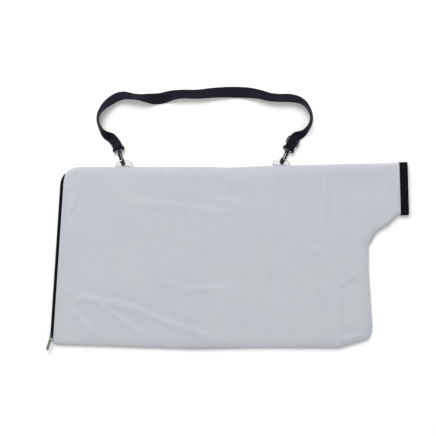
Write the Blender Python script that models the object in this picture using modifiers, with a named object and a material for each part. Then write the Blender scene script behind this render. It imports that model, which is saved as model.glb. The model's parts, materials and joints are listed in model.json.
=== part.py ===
"""Collection bag for a garden blower vacuum, lying flat, with its shoulder strap spread above it.

The frame: the origin is the middle of the bag's flat underside, +X runs to the inlet sleeve,
+Y to the edge that the strap hangs from, and +Z is up. Lengths below are in millimetres.
"""
import math

import bmesh
import bpy
from mathutils import Matrix, Vector

TO_METRES = 0.001
NAME = "blower_vacuum_collection_bag"
GAP = 0.3  # play between pieces that touch or pass each other

# bag: its edges where they cross the frame's axes
BAG_LEFT = -407.5
BAG_RIGHT = 407.5
BAG_BOTTOM = -236.0
BAG_TOP = 236.0
CLOTH = 0.8
BAG_HEIGHT = 13.0
SEAM_HEIGHT = BAG_HEIGHT / 2
SEAM_GAP = 1.1  # the panels' folded edges meet inside it, a GAP apart
RIM_DEPTH = 12.0
RIM_STEPS = 4
ARC_STEP = 14.0
UNDERSIDE_FACE = ((-150.0, 150.0), (-60.0, 140.0))
BASE_LINE = (
    (BAG_LEFT - 14.9, BAG_BOTTOM + 10.0, 14.0),
    (-182.0, BAG_BOTTOM + 2.0, 0.0),
    (-49.0, BAG_BOTTOM - 2.0, 0.0),
    (140.0, BAG_BOTTOM + 1.0, 0.0),
    (BAG_RIGHT - 77.5, BAG_BOTTOM, 30.0),
    (BAG_RIGHT - 29.5, BAG_BOTTOM + 14.0, 0.0),
    (BAG_RIGHT + 1.5, BAG_BOTTOM + 24.0, 18.0),
    (BAG_RIGHT + 9.5, BAG_BOTTOM + 52.0, 0.0),
    (BAG_RIGHT + 5.5, BAG_BOTTOM + 118.0, 0.0),
    (BAG_RIGHT, BAG_TOP - 266.0, 0.0),
    (BAG_RIGHT, BAG_TOP - 204.0, 26.0),
    (BAG_RIGHT + 20.5, BAG_TOP - 175.0, 0.0),
    (BAG_RIGHT + 54.5, BAG_TOP - 154.0, 0.0),
)
TOP_LINE = (
    (BAG_RIGHT + 32.5, BAG_TOP + 9.0, 0.0),
    (153.0, BAG_TOP + 2.7, 0.0),
    (36.0, BAG_TOP - 2.0, 0.0),
    (0.0, BAG_TOP, 0.0),
    (BAG_LEFT + 15.6, BAG_TOP, 40.0),
)

# inlet sleeve and the band round its end
MOUTH = Vector((BAG_RIGHT + 105.0, BAG_TOP - 56.8, 0.0))
MOUTH_TURN = math.radians(1.65)
BAND_LENGTH = 20.0
BAND_WALL = 1.2
BAND_HALF_WIDTH = 69.6
SLEEVE_HALF_WIDTH = BAND_HALF_WIDTH - BAND_WALL - GAP
SLEEVE_LIFT = BAND_WALL + GAP
LIFT_FROM = -BAND_LENGTH - 52.0
LIFT_TO = -BAND_LENGTH - 3.0
SLEEVE_FROM = -BAND_LENGTH - 8.0
SLEEVE_SPARE = 40.0  # the outline runs on past the mouth by this before it is cut there

# zip along the left edge, in a frame of its own: u goes inwards, v up the edge
ZIP_START = Vector((BAG_LEFT, 0.0, 0.0))
ZIP_TURN = -math.atan(0.066)
ZIP_WINDOW = (-211.0, 190.0)
ZIP_EDGE = 9.0
TAPE = 0.6
TAPE_LEVEL = 11.0
TAPE_REACH = 20.0  # how far in from the edge each half of the tape goes
ZIP_MIDDLE = 4.5
SLIT = 0.7
TEETH_WIDTH = 2.1
TEETH_HEIGHT = 1.8
TEETH_BOTTOM = TAPE_LEVEL + TAPE / 2 + 0.05
STOP_LENGTH = 3.0
SLIDER_LENGTH = 13.0
SLIDER_AT = ZIP_WINDOW[0] + 1.0 + STOP_LENGTH + GAP + SLIDER_LENGTH / 2
SLIDER_WIDTH = 8.2
SLIDER_PLATE = 1.0
PLATE_LEVEL = TEETH_BOTTOM + TEETH_HEIGHT + 0.3
POST_WIDTH = 0.8
ARCH_WIDTH = 2.4
ARCH_CLEAR = 3.4
ARCH_BAR = 1.0
PULL_BAR_AT = -4.2
PULL_BAR_RADIUS = 0.8
PULL_BAR_LEVEL = PLATE_LEVEL + SLIDER_PLATE + PULL_BAR_RADIUS + 0.4
PULL_LENGTH = 38.0
PULL_WIDTH = 9.0
PULL_PLATE = 1.2
PULL_SKEW = math.radians(-15.0)
PULL_NARROW = 3.6
PULL_DROP = PULL_BAR_LEVEL - PULL_PLATE / 2 - (TEETH_BOTTOM + TEETH_HEIGHT + GAP)
PULL_TILT = math.asin(PULL_DROP / (PULL_LENGTH + 1.0))  # its tip lies just above the teeth

# rings at the upper edge and the tabs that hold them
RING_WIRE = 1.4
RING_HALF = 21.4
RING_STRAIGHT = 2.0
RING_REACH = 16.4
RING_LEVEL = 2.55
RINGS = {"left": (-228.8, BAG_TOP + 1.7), "right": (180.2, BAG_TOP + 4.9)}
TAB_WIDTH = 32.0
TAB_CLOTH = 0.8
TAB_WRAP = (-60, 205)  # degrees round the bar

# snap hooks: x goes to the gate, y from the nose to the webbing
HOOK_LEVEL = 7.9
HOOK_THICK = 4.2
HOOK_HALF = 7.8
SLOT_HALF = 4.2
SLOT_FROM = 10.6
GATE_PIVOT = (5.4, 30.6)
GATE_RADIUS = 1.3
STEM_RADIUS = 2.2
HEAD_RADIUS = 3.4
BOSS = (36.0, 38.6)
HEAD = (38.9, 40.2)
STEM_FROM = 34.6
BOSS_RADIUS = 4.3
EYE_THICK = 3.8
EYE_NECK = 10.0
EYE_SHOULDER = HEAD[0] + 1.9
EYE_WALL = 1.1
EYE_BAR_AT = 45.9
EYE_BAR_RADIUS = 1.9
EYE_HALF = 15.6
EYE_WINDOW_HALF = 12.9
HOOKS = {
    "left": (-230.4, BAG_TOP + 4.0, math.radians(17.0), math.radians(-57.0)),
    "right": (179.0, BAG_TOP + 7.6, math.radians(-28.0), math.radians(-123.0)),
}

# webbing and its adjuster
WEB_WIDTH = 25.0
WEB_THICK = 1.5
ADJUSTER_AT = 20.0
ADJUSTER_LENGTH = 20.0
ADJUSTER_WIDTH = 33.0
ADJUSTER_THICK = 2.4
ADJUSTER_BAR = 3.0
ADJUSTER_LEVEL = 8.6
SLOT_WIDTH = 26.4
# the strap's middle line from the left hook to the right one: x, height above the bag's upper
# edge as seen from above, and how far it leans, in degrees
STRAP_LINE = (
    (-271, 80, 22),
    (-279, 87, 46),
    (-286, 96, 63),
    (-291, 105, 70),
    (-296, 116, 73),
    (-297, 128, 72),
    (-294, 140, 66),
    (-288, 151, 52),
    (-277, 163, 33),
    (-263, 174, 34),
    (-246, 182, 38),
    (-229, 185, 32),
    (-212, 184, 46),
    (-196, 182, 53),
    (-179, 179, 46),
    (-163, 177, 25),
    (-147, 176, 10),
    (-131, 178, 10),
    (-115, 182, 20),
    (-99, 186, 28),
    (-75, 189, 30),
    (-50, 189, 27),
    (-25, 189, 23),
    (0, 192, 19),
    (30, 194, 18),
    (64, 195, 18),
    (96, 193, 18),
    (124, 188, 18),
    (150, 181, 24),
    (176, 179, 36),
    (200, 178, 28),
    (221, 174, 33),
    (237, 166, 45),
    (248, 154, 62),
    (256, 140, 69),
    (258, 125, 70),
    (255, 112, 69),
    (247, 100, 62),
    (235, 89, 34),
)




def clear_scene():
    for thing in list(bpy.data.objects):
        bpy.data.objects.remove(thing)


def new_collection(name, is_hidden=False):
    made = bpy.data.collections.new(name)
    bpy.context.scene.collection.children.link(made)
    made.hide_render = is_hidden
    return made


def linear(channel):
    value = channel / 255
    if value <= 0.04045:
        return value / 12.92
    return ((value + 0.055) / 1.055) ** 2.4


def material(name, colour, metallic, roughness):
    made = bpy.data.materials.new(name)
    made.use_nodes = True
    shader = made.node_tree.nodes["Principled BSDF"]
    rgb = [linear(int(colour[i : i + 2], 16)) for i in (0, 2, 4)]
    shader.inputs["Base Color"].default_value = (*rgb, 1.0)
    shader.inputs["Metallic"].default_value = metallic
    shader.inputs["Roughness"].default_value = roughness
    return made


def materials():
    return {
        "bag_cloth": material("bag_cloth", "C4C8CC", 0.0, 0.85),
        "black_webbing": material("black_webbing", "22202B", 0.0, 0.8),
        "black_binding": material("black_binding", "0E0D12", 0.0, 0.85),
        "black_nylon": material("black_nylon", "1C2224", 0.0, 0.4),
        "grey_nylon": material("grey_nylon", "5A5A60", 0.0, 0.4),
        "bright_steel": material("bright_steel", "B8B8BA", 1.0, 0.25),
        "zinc": material("zinc", "8A8A8C", 1.0, 0.35),
    }


def add_object(name, bm, surface, home, origin=None):
    """Makes an object of a mesh in millimetres, with its origin at a point of the frame."""
    centre = Vector(origin) if origin else Vector((0, 0, 0))
    bm.transform(Matrix.Translation(-centre))
    bm.transform(Matrix.Scale(TO_METRES, 4))
    bmesh.ops.recalc_face_normals(bm, faces=bm.faces)
    if bm.calc_volume(signed=True) < 0:
        bmesh.ops.reverse_faces(bm, faces=bm.faces)
    mesh = bpy.data.meshes.new(name)
    bm.to_mesh(mesh)
    bm.free()
    made = bpy.data.objects.new(name, mesh)
    made.location = centre * TO_METRES
    home.objects.link(made)
    if surface:
        mesh.materials.append(surface)
    return made


def add_cutter(name, bm, home):
    made = add_object(name, bm, None, home)
    made.display_type = "WIRE"
    made.hide_render = True
    return made


def add_boolean(target, other, operation):
    modifier = target.modifiers.new(other.name, "BOOLEAN")
    modifier.operation = operation
    modifier.object = other
    modifier.solver = "EXACT"


def box(low, high):
    bm = bmesh.new()
    size = Vector(high) - Vector(low)
    middle = (Vector(high) + Vector(low)) / 2
    bmesh.ops.create_cube(bm, size=1.0, matrix=Matrix.Translation(middle) @ Matrix.Diagonal((*size, 1.0)))
    return bm


def cylinder(radius, start, end, segments=20):
    bm = bmesh.new()
    run = Vector(end) - Vector(start)
    turn = run.to_track_quat("Z", "Y").to_matrix().to_4x4()
    place = Matrix.Translation((Vector(start) + Vector(end)) / 2) @ turn
    bmesh.ops.create_cone(
        bm, cap_ends=True, segments=segments, radius1=radius, radius2=radius, depth=run.length, matrix=place
    )
    return bm


def extruded(outline, start, end):
    """A solid with a flat outline in the local XY plane, from one height to another."""
    bm = bmesh.new()
    face = bm.faces.new([bm.verts.new((x, y, start)) for x, y in outline])
    grown = bmesh.ops.extrude_face_region(bm, geom=[face])
    moved = [v for v in grown["geom"] if isinstance(v, bmesh.types.BMVert)]
    bmesh.ops.translate(bm, verts=moved, vec=(0, 0, end - start))
    bmesh.ops.recalc_face_normals(bm, faces=bm.faces)
    return bm


def bevelled(bm, size):
    """Softens the sharp edges of a plain solid."""
    sharp = [e for e in bm.edges if e.calc_face_angle(0.0) > math.radians(60)]
    bmesh.ops.bevel(bm, geom=sharp, offset=size, segments=1, profile=0.5, affect="EDGES")
    return bm


def moved(bm, place):
    bm.transform(place)
    return bm


def arc(centre, radius, start, end, steps):
    """Points along a circle, angles in degrees."""
    found = []
    for i in range(steps + 1):
        angle = math.radians(start + (end - start) * i / steps)
        found.append((centre[0] + radius * math.cos(angle), centre[1] + radius * math.sin(angle)))
    return found


def rounded(corners):
    """A closed outline whose corners carry a radius each."""
    found = []
    count = len(corners)
    for i, (x, y, radius) in enumerate(corners):
        here = Vector((x, y))
        if not radius:
            found.append((x, y))
            continue
        before = (Vector(corners[i - 1][:2]) - here).normalized()
        after = (Vector(corners[(i + 1) % count][:2]) - here).normalized()
        half = before.angle(after) / 2
        centre = here + (before + after).normalized() * radius / math.sin(half)
        start = here + before * radius / math.tan(half) - centre
        end = here + after * radius / math.tan(half) - centre
        sweep = start.angle_signed(end)
        steps = max(1, round(abs(math.degrees(sweep)) / ARC_STEP))
        for k in range(steps + 1):
            turn = Matrix.Rotation(-sweep * k / steps, 2)
            found.append(tuple(centre + turn @ start))
    return found


def mouth_point(along, across):
    forward = Vector((math.cos(MOUTH_TURN), math.sin(MOUTH_TURN), 0.0))
    side = Vector((-math.sin(MOUTH_TURN), math.cos(MOUTH_TURN), 0.0))
    return MOUTH + forward * along + side * across


def bag_outline():
    """The bag seen from above, with its sleeve run on past the mouth."""
    corners = (
        (SLEEVE_FROM, -SLEEVE_HALF_WIDTH),
        (SLEEVE_SPARE, -SLEEVE_HALF_WIDTH),
        (SLEEVE_SPARE, SLEEVE_HALF_WIDTH),
        (SLEEVE_FROM, SLEEVE_HALF_WIDTH),
    )
    sleeve = tuple((*mouth_point(along, across)[:2], 0.0) for along, across in corners)
    return rounded(BASE_LINE + sleeve + TOP_LINE)


def rim_step(i):
    angle = math.pi / 2 * i / RIM_STEPS
    return RIM_DEPTH * (1 - math.cos(angle)), (SEAM_HEIGHT - SEAM_GAP / 2) * math.sin(angle)


def cut(bm, point, normal, faces=None, is_outer_removed=False):
    chosen = faces if faces is not None else list(bm.faces)
    edges = {e for f in chosen for e in f.edges}
    verts = {v for f in chosen for v in f.verts}
    return bmesh.ops.bisect_plane(
        bm, geom=[*chosen, *edges, *verts], plane_co=point, plane_no=normal, clear_outer=is_outer_removed
    )


def panel_shell(is_front):
    """One cloth panel: a flat middle and a rim that curves to the seam."""
    bm = bmesh.new()
    side = 1 if is_front else -1
    level = SEAM_HEIGHT + side * SEAM_GAP / 2
    outline = bag_outline()
    if not is_front:
        outline = outline[::-1]
    middle = bm.faces.new([bm.verts.new((x, y, level)) for x, y in outline])
    bm.normal_update()
    for i in range(RIM_STEPS):
        inset, height = rim_step(i)
        next_inset, next_height = rim_step(i + 1)
        bmesh.ops.inset_region(
            bm,
            faces=[middle],
            thickness=next_inset - inset,
            depth=next_height - height,
            use_boundary=True,
            use_even_offset=True,
        )
    return bm


def open_zip_window(bm):
    turn = Matrix.Rotation(ZIP_TURN, 4, "Z")
    inward = turn @ Vector((1, 0, 0))
    along = turn @ Vector((0, 1, 0))
    cut(bm, ZIP_START + inward * ZIP_EDGE, inward)
    for end in ZIP_WINDOW:
        cut(bm, ZIP_START + along * end, along)
    gone = []
    for face in bm.faces:
        spot = face.calc_center_median() - ZIP_START
        u, v = spot.dot(inward), spot.dot(along)
        if u < ZIP_EDGE and ZIP_WINDOW[0] < v < ZIP_WINDOW[1]:
            gone.append(face)
    bmesh.ops.delete(bm, geom=gone, context="FACES")


def lift_sleeve(bm):
    """Raises the sleeve by the band's wall, so that the band rests on the ground."""
    forward = mouth_point(1.0, 0.0) - MOUTH
    cut(bm, mouth_point(-0.5, 0.0), forward, is_outer_removed=True)
    for along in (LIFT_FROM, LIFT_TO):
        cut(bm, mouth_point(along, 0.0), forward)
    for vert in bm.verts:
        along = (vert.co - MOUTH).dot(forward)
        share = min(1.0, max(0.0, (along - LIFT_FROM) / (LIFT_TO - LIFT_FROM)))
        vert.co.z += SLEEVE_LIFT * share


def add_panel(name, is_front, surface, home):
    bm = panel_shell(is_front)
    open_zip_window(bm)
    lift_sleeve(bm)
    if not is_front:
        for axis in (0, 1):
            for edge in UNDERSIDE_FACE[axis]:
                flat = [f for f in bm.faces if f.calc_center_median().z < 0.01 and f.normal.z < -0.99]
                normal = Vector((1 - axis, axis, 0))
                cut(bm, normal * edge, normal, faces=flat)
    bm.transform(Matrix.Scale(TO_METRES, 4))
    mesh = bpy.data.meshes.new(name)
    bm.to_mesh(mesh)
    bm.free()
    mesh.materials.append(surface)
    made = bpy.data.objects.new(name, mesh)
    home.objects.link(made)
    cloth = made.modifiers.new("cloth", "SOLIDIFY")
    cloth.thickness = CLOTH * TO_METRES
    cloth.offset = -1.0
    cloth.use_even_offset = True
    return made


def band_loop(bm, along, spare):
    """One closed loop round the sleeve, at a distance outside its cloth."""
    loop = []
    middle = SEAM_HEIGHT + SLEEVE_LIFT
    reach = SLEEVE_HALF_WIDTH - RIM_DEPTH
    quarter = [math.pi / 2 * i / RIM_STEPS for i in range(RIM_STEPS + 1)]
    angles = [-a for a in quarter[::-1]] + quarter
    for side in (1, -1):
        for i, angle in enumerate(angles):
            half = 1 if i > RIM_STEPS else -1
            rise = half * SEAM_GAP / 2 + (SEAM_HEIGHT - SEAM_GAP / 2 + spare) * math.sin(angle)
            across = side * (reach + (RIM_DEPTH + spare) * math.cos(angle))
            loop.append(bm.verts.new(mouth_point(along, across) + Vector((0, 0, middle + side * rise))))
    return loop


def bridge(bm, first, second):
    count = len(first)
    for i in range(count):
        k = (i + 1) % count
        bm.faces.new((first[i], first[k], second[k], second[i]))


def add_band(surface, home):
    bm = bmesh.new()
    outer = [band_loop(bm, along, GAP + BAND_WALL) for along in (-BAND_LENGTH, 0.0)]
    inner = [band_loop(bm, along, GAP) for along in (-BAND_LENGTH, 0.0)]
    bridge(bm, outer[0], outer[1])
    bridge(bm, inner[1], inner[0])
    bridge(bm, inner[0], outer[0])
    bridge(bm, outer[1], inner[1])
    return add_object("inlet_band", bm, surface, home)


def strip(line, thickness):
    """The outline of a strip of cloth whose middle runs along a line."""
    points = [Vector(p) for p in line]
    upper, lower = [], []
    for i, here in enumerate(points):
        before = (here - points[i - 1]).normalized() if i else None
        after = (points[i + 1] - here).normalized() if i + 1 < len(points) else None
        ways = [w for w in (before, after) if w]
        normals = [Vector((-w.y, w.x)) for w in ways]
        normal = sum(normals, Vector((0, 0))).normalized()
        reach = thickness / 2 / normal.dot(normals[0])
        upper.append(tuple(here + normal * reach))
        lower.append(tuple(here - normal * reach))
    return upper + lower[::-1]


def zip_place(v=0.0):
    return Matrix.Translation(ZIP_START) @ Matrix.Rotation(ZIP_TURN, 4, "Z") @ Matrix.Translation((0, v, 0))


def along_edge(profile, start, end):
    """Runs a profile of inward distance and height along the zip."""
    stand = Matrix(((1, 0, 0, 0), (0, 0, 1, 0), (0, 1, 0, 0), (0, 0, 0, 1)))
    bm = extruded(profile, start, end)
    bm.transform(stand)
    bmesh.ops.reverse_faces(bm, faces=bm.faces)
    return moved(bm, zip_place())


def add_zip(looks, home):
    start, end = ZIP_WINDOW[0] + 0.5, ZIP_WINDOW[1] - 0.5
    front = ((ZIP_MIDDLE + SLIT, TAPE_LEVEL), (TAPE_REACH, TAPE_LEVEL))
    back = (
        (ZIP_MIDDLE - SLIT, TAPE_LEVEL),
        (1.3, TAPE_LEVEL - 0.1),
        (0.45, TAPE_LEVEL - 1.2),
        (0.35, 7.0),
        (1.2, 5.0),
        (4.0, 3.5),
        (9.0, 2.5),
        (TAPE_REACH, 1.6),
    )
    add_object("zip_tape_front", along_edge(strip(front, TAPE), start, end), looks["black_binding"], home)
    add_object("zip_tape_back", along_edge(strip(back, TAPE), start, end), looks["black_binding"], home)
    top = TEETH_BOTTOM + TEETH_HEIGHT
    low, high = start + STOP_LENGTH + 0.8, end - STOP_LENGTH - 0.8
    for name, side in (("zip_teeth_front", 1), ("zip_teeth_back", -1)):
        near = ZIP_MIDDLE + side * SLIT
        far = near + side * TEETH_WIDTH
        base = ((near, TEETH_BOTTOM), (far, TEETH_BOTTOM))
        profile = (*base, (far - side * 0.5, top), (near + side * 0.3, top))
        add_object(name, along_edge(profile, low, high), looks["black_nylon"], home)
    for name, at in (("zip_stop_bottom", start), ("zip_stop_top", end - STOP_LENGTH)):
        reach = TEETH_WIDTH + SLIT
        stop = box(
            (ZIP_MIDDLE - reach, at, TEETH_BOTTOM), (ZIP_MIDDLE + reach, at + STOP_LENGTH, top - 0.2)
        )
        add_object(name, moved(bevelled(stop, 0.3), zip_place()), looks["zinc"], home)


def slider_parts():
    """What is joined to the slider's upper plate: two lips, a post, a lower plate and an arch."""
    half_long, half_wide = SLIDER_LENGTH / 2, SLIDER_WIDTH / 2
    top = PLATE_LEVEL + SLIDER_PLATE
    lip = TAPE_LEVEL + TAPE / 2 + GAP
    under = TAPE_LEVEL - TAPE / 2 - GAP
    inner, outer = ZIP_MIDDLE + half_wide, ZIP_MIDDLE - half_wide
    post, arch = POST_WIDTH / 2, ARCH_WIDTH / 2
    crown = top + ARCH_CLEAR
    low, high = -half_long + 0.2, 2.2
    return {
        "lip_inner": box((inner - 1.0, -2.0, lip), (inner, half_long, top - 0.2)),
        "lip_outer": box((outer, -2.0, lip), (outer + 1.0, half_long, top - 0.2)),
        "post": box((ZIP_MIDDLE - post, -4.5, under - 0.4), (ZIP_MIDDLE + post, -0.5, top - 0.3)),
        "lower_plate": box(
            (ZIP_MIDDLE - 2.7, -5.5, under - SLIDER_PLATE), (ZIP_MIDDLE + 2.9, half_long, under)
        ),
        "arch_leg_low": box(
            (ZIP_MIDDLE - arch, low, top - 0.4), (ZIP_MIDDLE + arch, low + 0.8, crown + 0.2)
        ),
        "arch_leg_high": box(
            (ZIP_MIDDLE - arch, high - 1.2, top - 0.4), (ZIP_MIDDLE + arch, high, crown + 0.2)
        ),
        "arch_bar": box((ZIP_MIDDLE - arch, low, crown), (ZIP_MIDDLE + arch, high, crown + ARCH_BAR)),
    }


def add_slider(looks, home, cutters):
    place = zip_place(SLIDER_AT)
    half_long, half_wide = SLIDER_LENGTH / 2, SLIDER_WIDTH / 2
    top = PLATE_LEVEL + SLIDER_PLATE
    nose = 2.6
    plate = (
        (ZIP_MIDDLE - nose, -half_long),
        (ZIP_MIDDLE + nose, -half_long),
        (ZIP_MIDDLE + half_wide, -half_long + 4.0),
        (ZIP_MIDDLE + half_wide, half_long),
        (ZIP_MIDDLE - half_wide, half_long),
        (ZIP_MIDDLE - half_wide, -half_long + 4.0),
    )
    body = moved(extruded(plate, PLATE_LEVEL, top), place)
    slider = add_object("zip_slider", body, looks["zinc"], home, origin=place @ Vector((ZIP_MIDDLE, 0, top)))
    for name, bm in slider_parts().items():
        add_boolean(slider, add_cutter(name, moved(bm, place), cutters), "UNION")


def pull_place():
    bar = Matrix.Translation((ZIP_MIDDLE, PULL_BAR_AT, PULL_BAR_LEVEL))
    turn = Matrix.Rotation(PULL_SKEW, 4, "Z") @ Matrix.Rotation(PULL_TILT, 4, "X")
    return zip_place(SLIDER_AT) @ bar @ turn


def add_pull(looks, home, cutters):
    """A long plate whose thin end bar lies under the slider's arch."""
    place = pull_place()
    half = PULL_WIDTH / 2
    thick = PULL_PLATE / 2
    side = (
        (half, 0.4),
        (half, -9.0),
        (PULL_NARROW, -12.0),
        (PULL_NARROW, -PULL_LENGTH + 2.0),
        (PULL_NARROW - 1.4, -PULL_LENGTH),
    )
    outline = [(-x, y) for x, y in side] + list(side)[::-1]
    plate = moved(extruded(outline, -thick, thick), place)
    pull = add_object("zip_pull", plate, looks["bright_steel"], home, origin=place @ Vector((0, 0, 0)))
    hole = moved(box((-half + 1.1, -7.6, -3), (half - 1.1, 3.0, 3)), place)
    add_boolean(pull, add_cutter("pull_hole", hole, cutters), "DIFFERENCE")
    bar = moved(cylinder(PULL_BAR_RADIUS, (-half + 0.05, 0, 0), (half - 0.05, 0, 0), 12), place)
    add_boolean(pull, add_cutter("pull_bar", bar, cutters), "UNION")


def ring_turn():
    left, right = Vector(RINGS["left"]), Vector(RINGS["right"])
    return math.atan2(right.y - left.y, right.x - left.x)


def ring_place(side):
    rise = math.asin((HOOK_LEVEL - RING_LEVEL) / RING_REACH)
    spot = Matrix.Translation((*RINGS[side], RING_LEVEL))
    return spot @ Matrix.Rotation(ring_turn(), 4, "Z") @ Matrix.Rotation(rise, 4, "X")


def ring_line():
    points = [(RING_HALF - 1.2, 0.0), (RING_HALF - 0.3, 0.6)]
    for i in range(13):
        angle = math.pi * i / 12
        points.append(
            (RING_HALF * math.cos(angle), RING_STRAIGHT + (RING_REACH - RING_STRAIGHT) * math.sin(angle))
        )
    points += [(-RING_HALF + 0.3, 0.6), (-RING_HALF + 1.2, 0.0)]
    return points


def add_ring(side, looks, home):
    """A steel wire bent to a D and closed at its straight bar."""
    bm = bmesh.new()
    points = [Vector((x, y, 0)) for x, y in ring_line()]
    count, sides = len(points), 10
    loops = []
    for i, here in enumerate(points):
        way = (points[(i + 1) % count] - points[i - 1]).normalized()
        across = Vector((-way.y, way.x, 0))
        loops.append(
            [
                bm.verts.new(
                    here
                    + across * RING_WIRE * math.cos(2 * math.pi * k / sides)
                    + Vector((0, 0, 1)) * RING_WIRE * math.sin(2 * math.pi * k / sides)
                )
                for k in range(sides)
            ]
        )
    for i in range(count):
        bridge(bm, loops[i], loops[(i + 1) % count])
    place = ring_place(side)
    middle = place @ Vector((0, 0, 0))
    add_object(f"ring_{side}", moved(bm, place), looks["bright_steel"], home, origin=middle)


def add_tab(side, looks, home):
    """A short loop of the bag's cloth round the ring's bar, sewn under the bag's upper edge."""
    middle = RING_WIRE + GAP + TAB_CLOTH / 2
    low = RING_LEVEL - middle
    line = [(-4.6, low), (0.0, low)]
    line += [(y, RING_LEVEL + z) for y, z in arc((0.0, 0.0), middle, *TAB_WRAP, 9)]
    stand = Matrix(((0, 0, 1, 0), (1, 0, 0, 0), (0, 1, 0, 0), (0, 0, 0, 1)))
    bm = extruded(strip(line, TAB_CLOTH), -TAB_WIDTH / 2, TAB_WIDTH / 2)
    place = Matrix.Translation((*RINGS[side], 0)) @ Matrix.Rotation(ring_turn(), 4, "Z") @ stand
    add_object(f"ring_tab_{side}", moved(bm, place), looks["bag_cloth"], home)


def hook_frame(side):
    """The hook's nose end and long axis, before it is rolled."""
    x, y, lean, _ = HOOKS[side]
    return Matrix.Translation((x, y, HOOK_LEVEL)) @ Matrix.Rotation(lean, 4, "Z")


def hook_place(side):
    return hook_frame(side) @ Matrix.Rotation(HOOKS[side][3], 4, "Y")


def hook_outline():
    slot_centre = SLOT_FROM + SLOT_HALF
    points = arc((0, HOOK_HALF), HOOK_HALF, 180, 360, 12)
    points += [(HOOK_HALF, 13.0), (7.0, 15.8), (5.9, 16.9), (4.6, 16.6), (SLOT_HALF, slot_centre + 0.6)]
    points += arc((0, slot_centre), SLOT_HALF, 0, -180, 10)
    points += [(-SLOT_HALF, 29.0), (-3.0, 31.6), (1.5, 32.2), (3.2, 31.6)]
    points += arc(GATE_PIVOT, GATE_RADIUS + GAP, 140, 10, 6)
    points += [(HOOK_HALF, 31.4), (HOOK_HALF - 0.2, 33.2), (6.2, 35.0), (3.0, 35.6)]
    points += [(-3.0, 35.6), (-6.2, 35.0), (-HOOK_HALF, 32.0)]
    return points


def add_hook(side, looks, home, cutters):
    place = hook_place(side)
    half = HOOK_THICK / 2
    outline = extruded(hook_outline(), -half, half)
    middle = place @ Vector((0, BOSS[0], 0))
    hook = add_object(f"snap_hook_{side}", moved(outline, place), looks["black_nylon"], home, origin=middle)
    stem = cylinder(STEM_RADIUS, (0, STEM_FROM, 0), (0, HEAD[0] + 0.5, 0))
    head = cylinder(HEAD_RADIUS, (0, HEAD[0], 0), (0, HEAD[1], 0))
    add_boolean(hook, add_cutter(f"stem_{side}", moved(stem, place), cutters), "UNION")
    add_boolean(hook, add_cutter(f"head_{side}", moved(head, place), cutters), "UNION")


def add_gate(side, looks, home):
    """The sprung bar that closes the hook: a round knuckle in the body and a blade down to the nose."""
    place = hook_place(side)
    x, y = GATE_PIVOT
    outline = arc(GATE_PIVOT, GATE_RADIUS, 0, 180, 8)
    outline += [(x - GATE_RADIUS, y - 3.0), (4.5, 17.8), (5.0, 17.3)]
    outline += [(6.4, 17.3), (6.9, 17.9), (x + GATE_RADIUS, y - 3.0)]
    bm = extruded(outline, -1.5, 1.5)
    pivot = place @ Vector((x, y, 0))
    add_object(f"hook_gate_{side}", moved(bm, place), looks["grey_nylon"], home, origin=pivot)


def add_eye(side, looks, home, cutters):
    """The swivel eye: a loop for the webbing with a bored boss that the hook's stem turns in."""
    place = hook_frame(side)
    low, high = BOSS
    half, reach = EYE_THICK / 2, EYE_WINDOW_HALF
    outer = ((EYE_NECK, low + 0.6), (EYE_HALF, EYE_SHOULDER), (EYE_HALF, EYE_BAR_AT))
    inner = ((EYE_NECK - 2.0, high), (reach, EYE_SHOULDER + EYE_WALL), (reach, EYE_BAR_AT + 3.0))
    outline = [(-x, y) for x, y in outer[::-1]] + list(outer)
    window = [(-x, y) for x, y in inner[::-1]] + list(inner)
    frame = moved(extruded(outline, -half, half), place)
    middle = place @ Vector((0, low, 0))
    eye = add_object(f"hook_eye_{side}", frame, looks["black_nylon"], home, origin=middle)
    boss = cylinder(BOSS_RADIUS, (0, low, 0), (0, high - 0.1, 0), 24)
    add_boolean(eye, add_cutter(f"boss_{side}", moved(boss, place), cutters), "UNION")
    opening = extruded(window, -6, 6)
    add_boolean(eye, add_cutter(f"window_{side}", moved(opening, place), cutters), "DIFFERENCE")
    bore = cylinder(STEM_RADIUS + GAP, (0, low - 5, 0), (0, high + 5, 0))
    add_boolean(eye, add_cutter(f"bore_{side}", moved(bore, place), cutters), "DIFFERENCE")
    bar = cylinder(EYE_BAR_RADIUS, (-EYE_HALF + 0.4, EYE_BAR_AT, 0), (EYE_HALF - 0.4, EYE_BAR_AT, 0), 16)
    add_boolean(eye, add_cutter(f"eye_bar_{side}", moved(bar, place), cutters), "UNION")


def turn_round_bar(frame, is_leaving):
    """The webbing's stations round an eye's bar, from its lower to its upper side or back."""
    radius = EYE_BAR_RADIUS + GAP + WEB_THICK / 2
    found = []
    for i in range(9):
        angle = math.radians(-90 - 22.5 * i)
        found.append((EYE_BAR_AT + radius * math.cos(angle), radius * math.sin(angle)))
    if not is_leaving:
        found.reverse()
    return [frame @ Vector((0, y, z)) for y, z in found]


def web_from(frame, heights):
    """Stations straight out from an eye's bar, given as distance and height above the ground."""
    return [frame @ Vector((0, EYE_BAR_AT + along, level - HOOK_LEVEL)) for along, level in heights]


def bent(points, shift):
    """Lets the webbing swing to one side as it leaves the left eye."""
    found = []
    for point, sideways in zip(points, shift):
        found.append(point + hook_frame("left").to_3x3() @ Vector((-sideways, 0, 0)))
    return found


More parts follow.
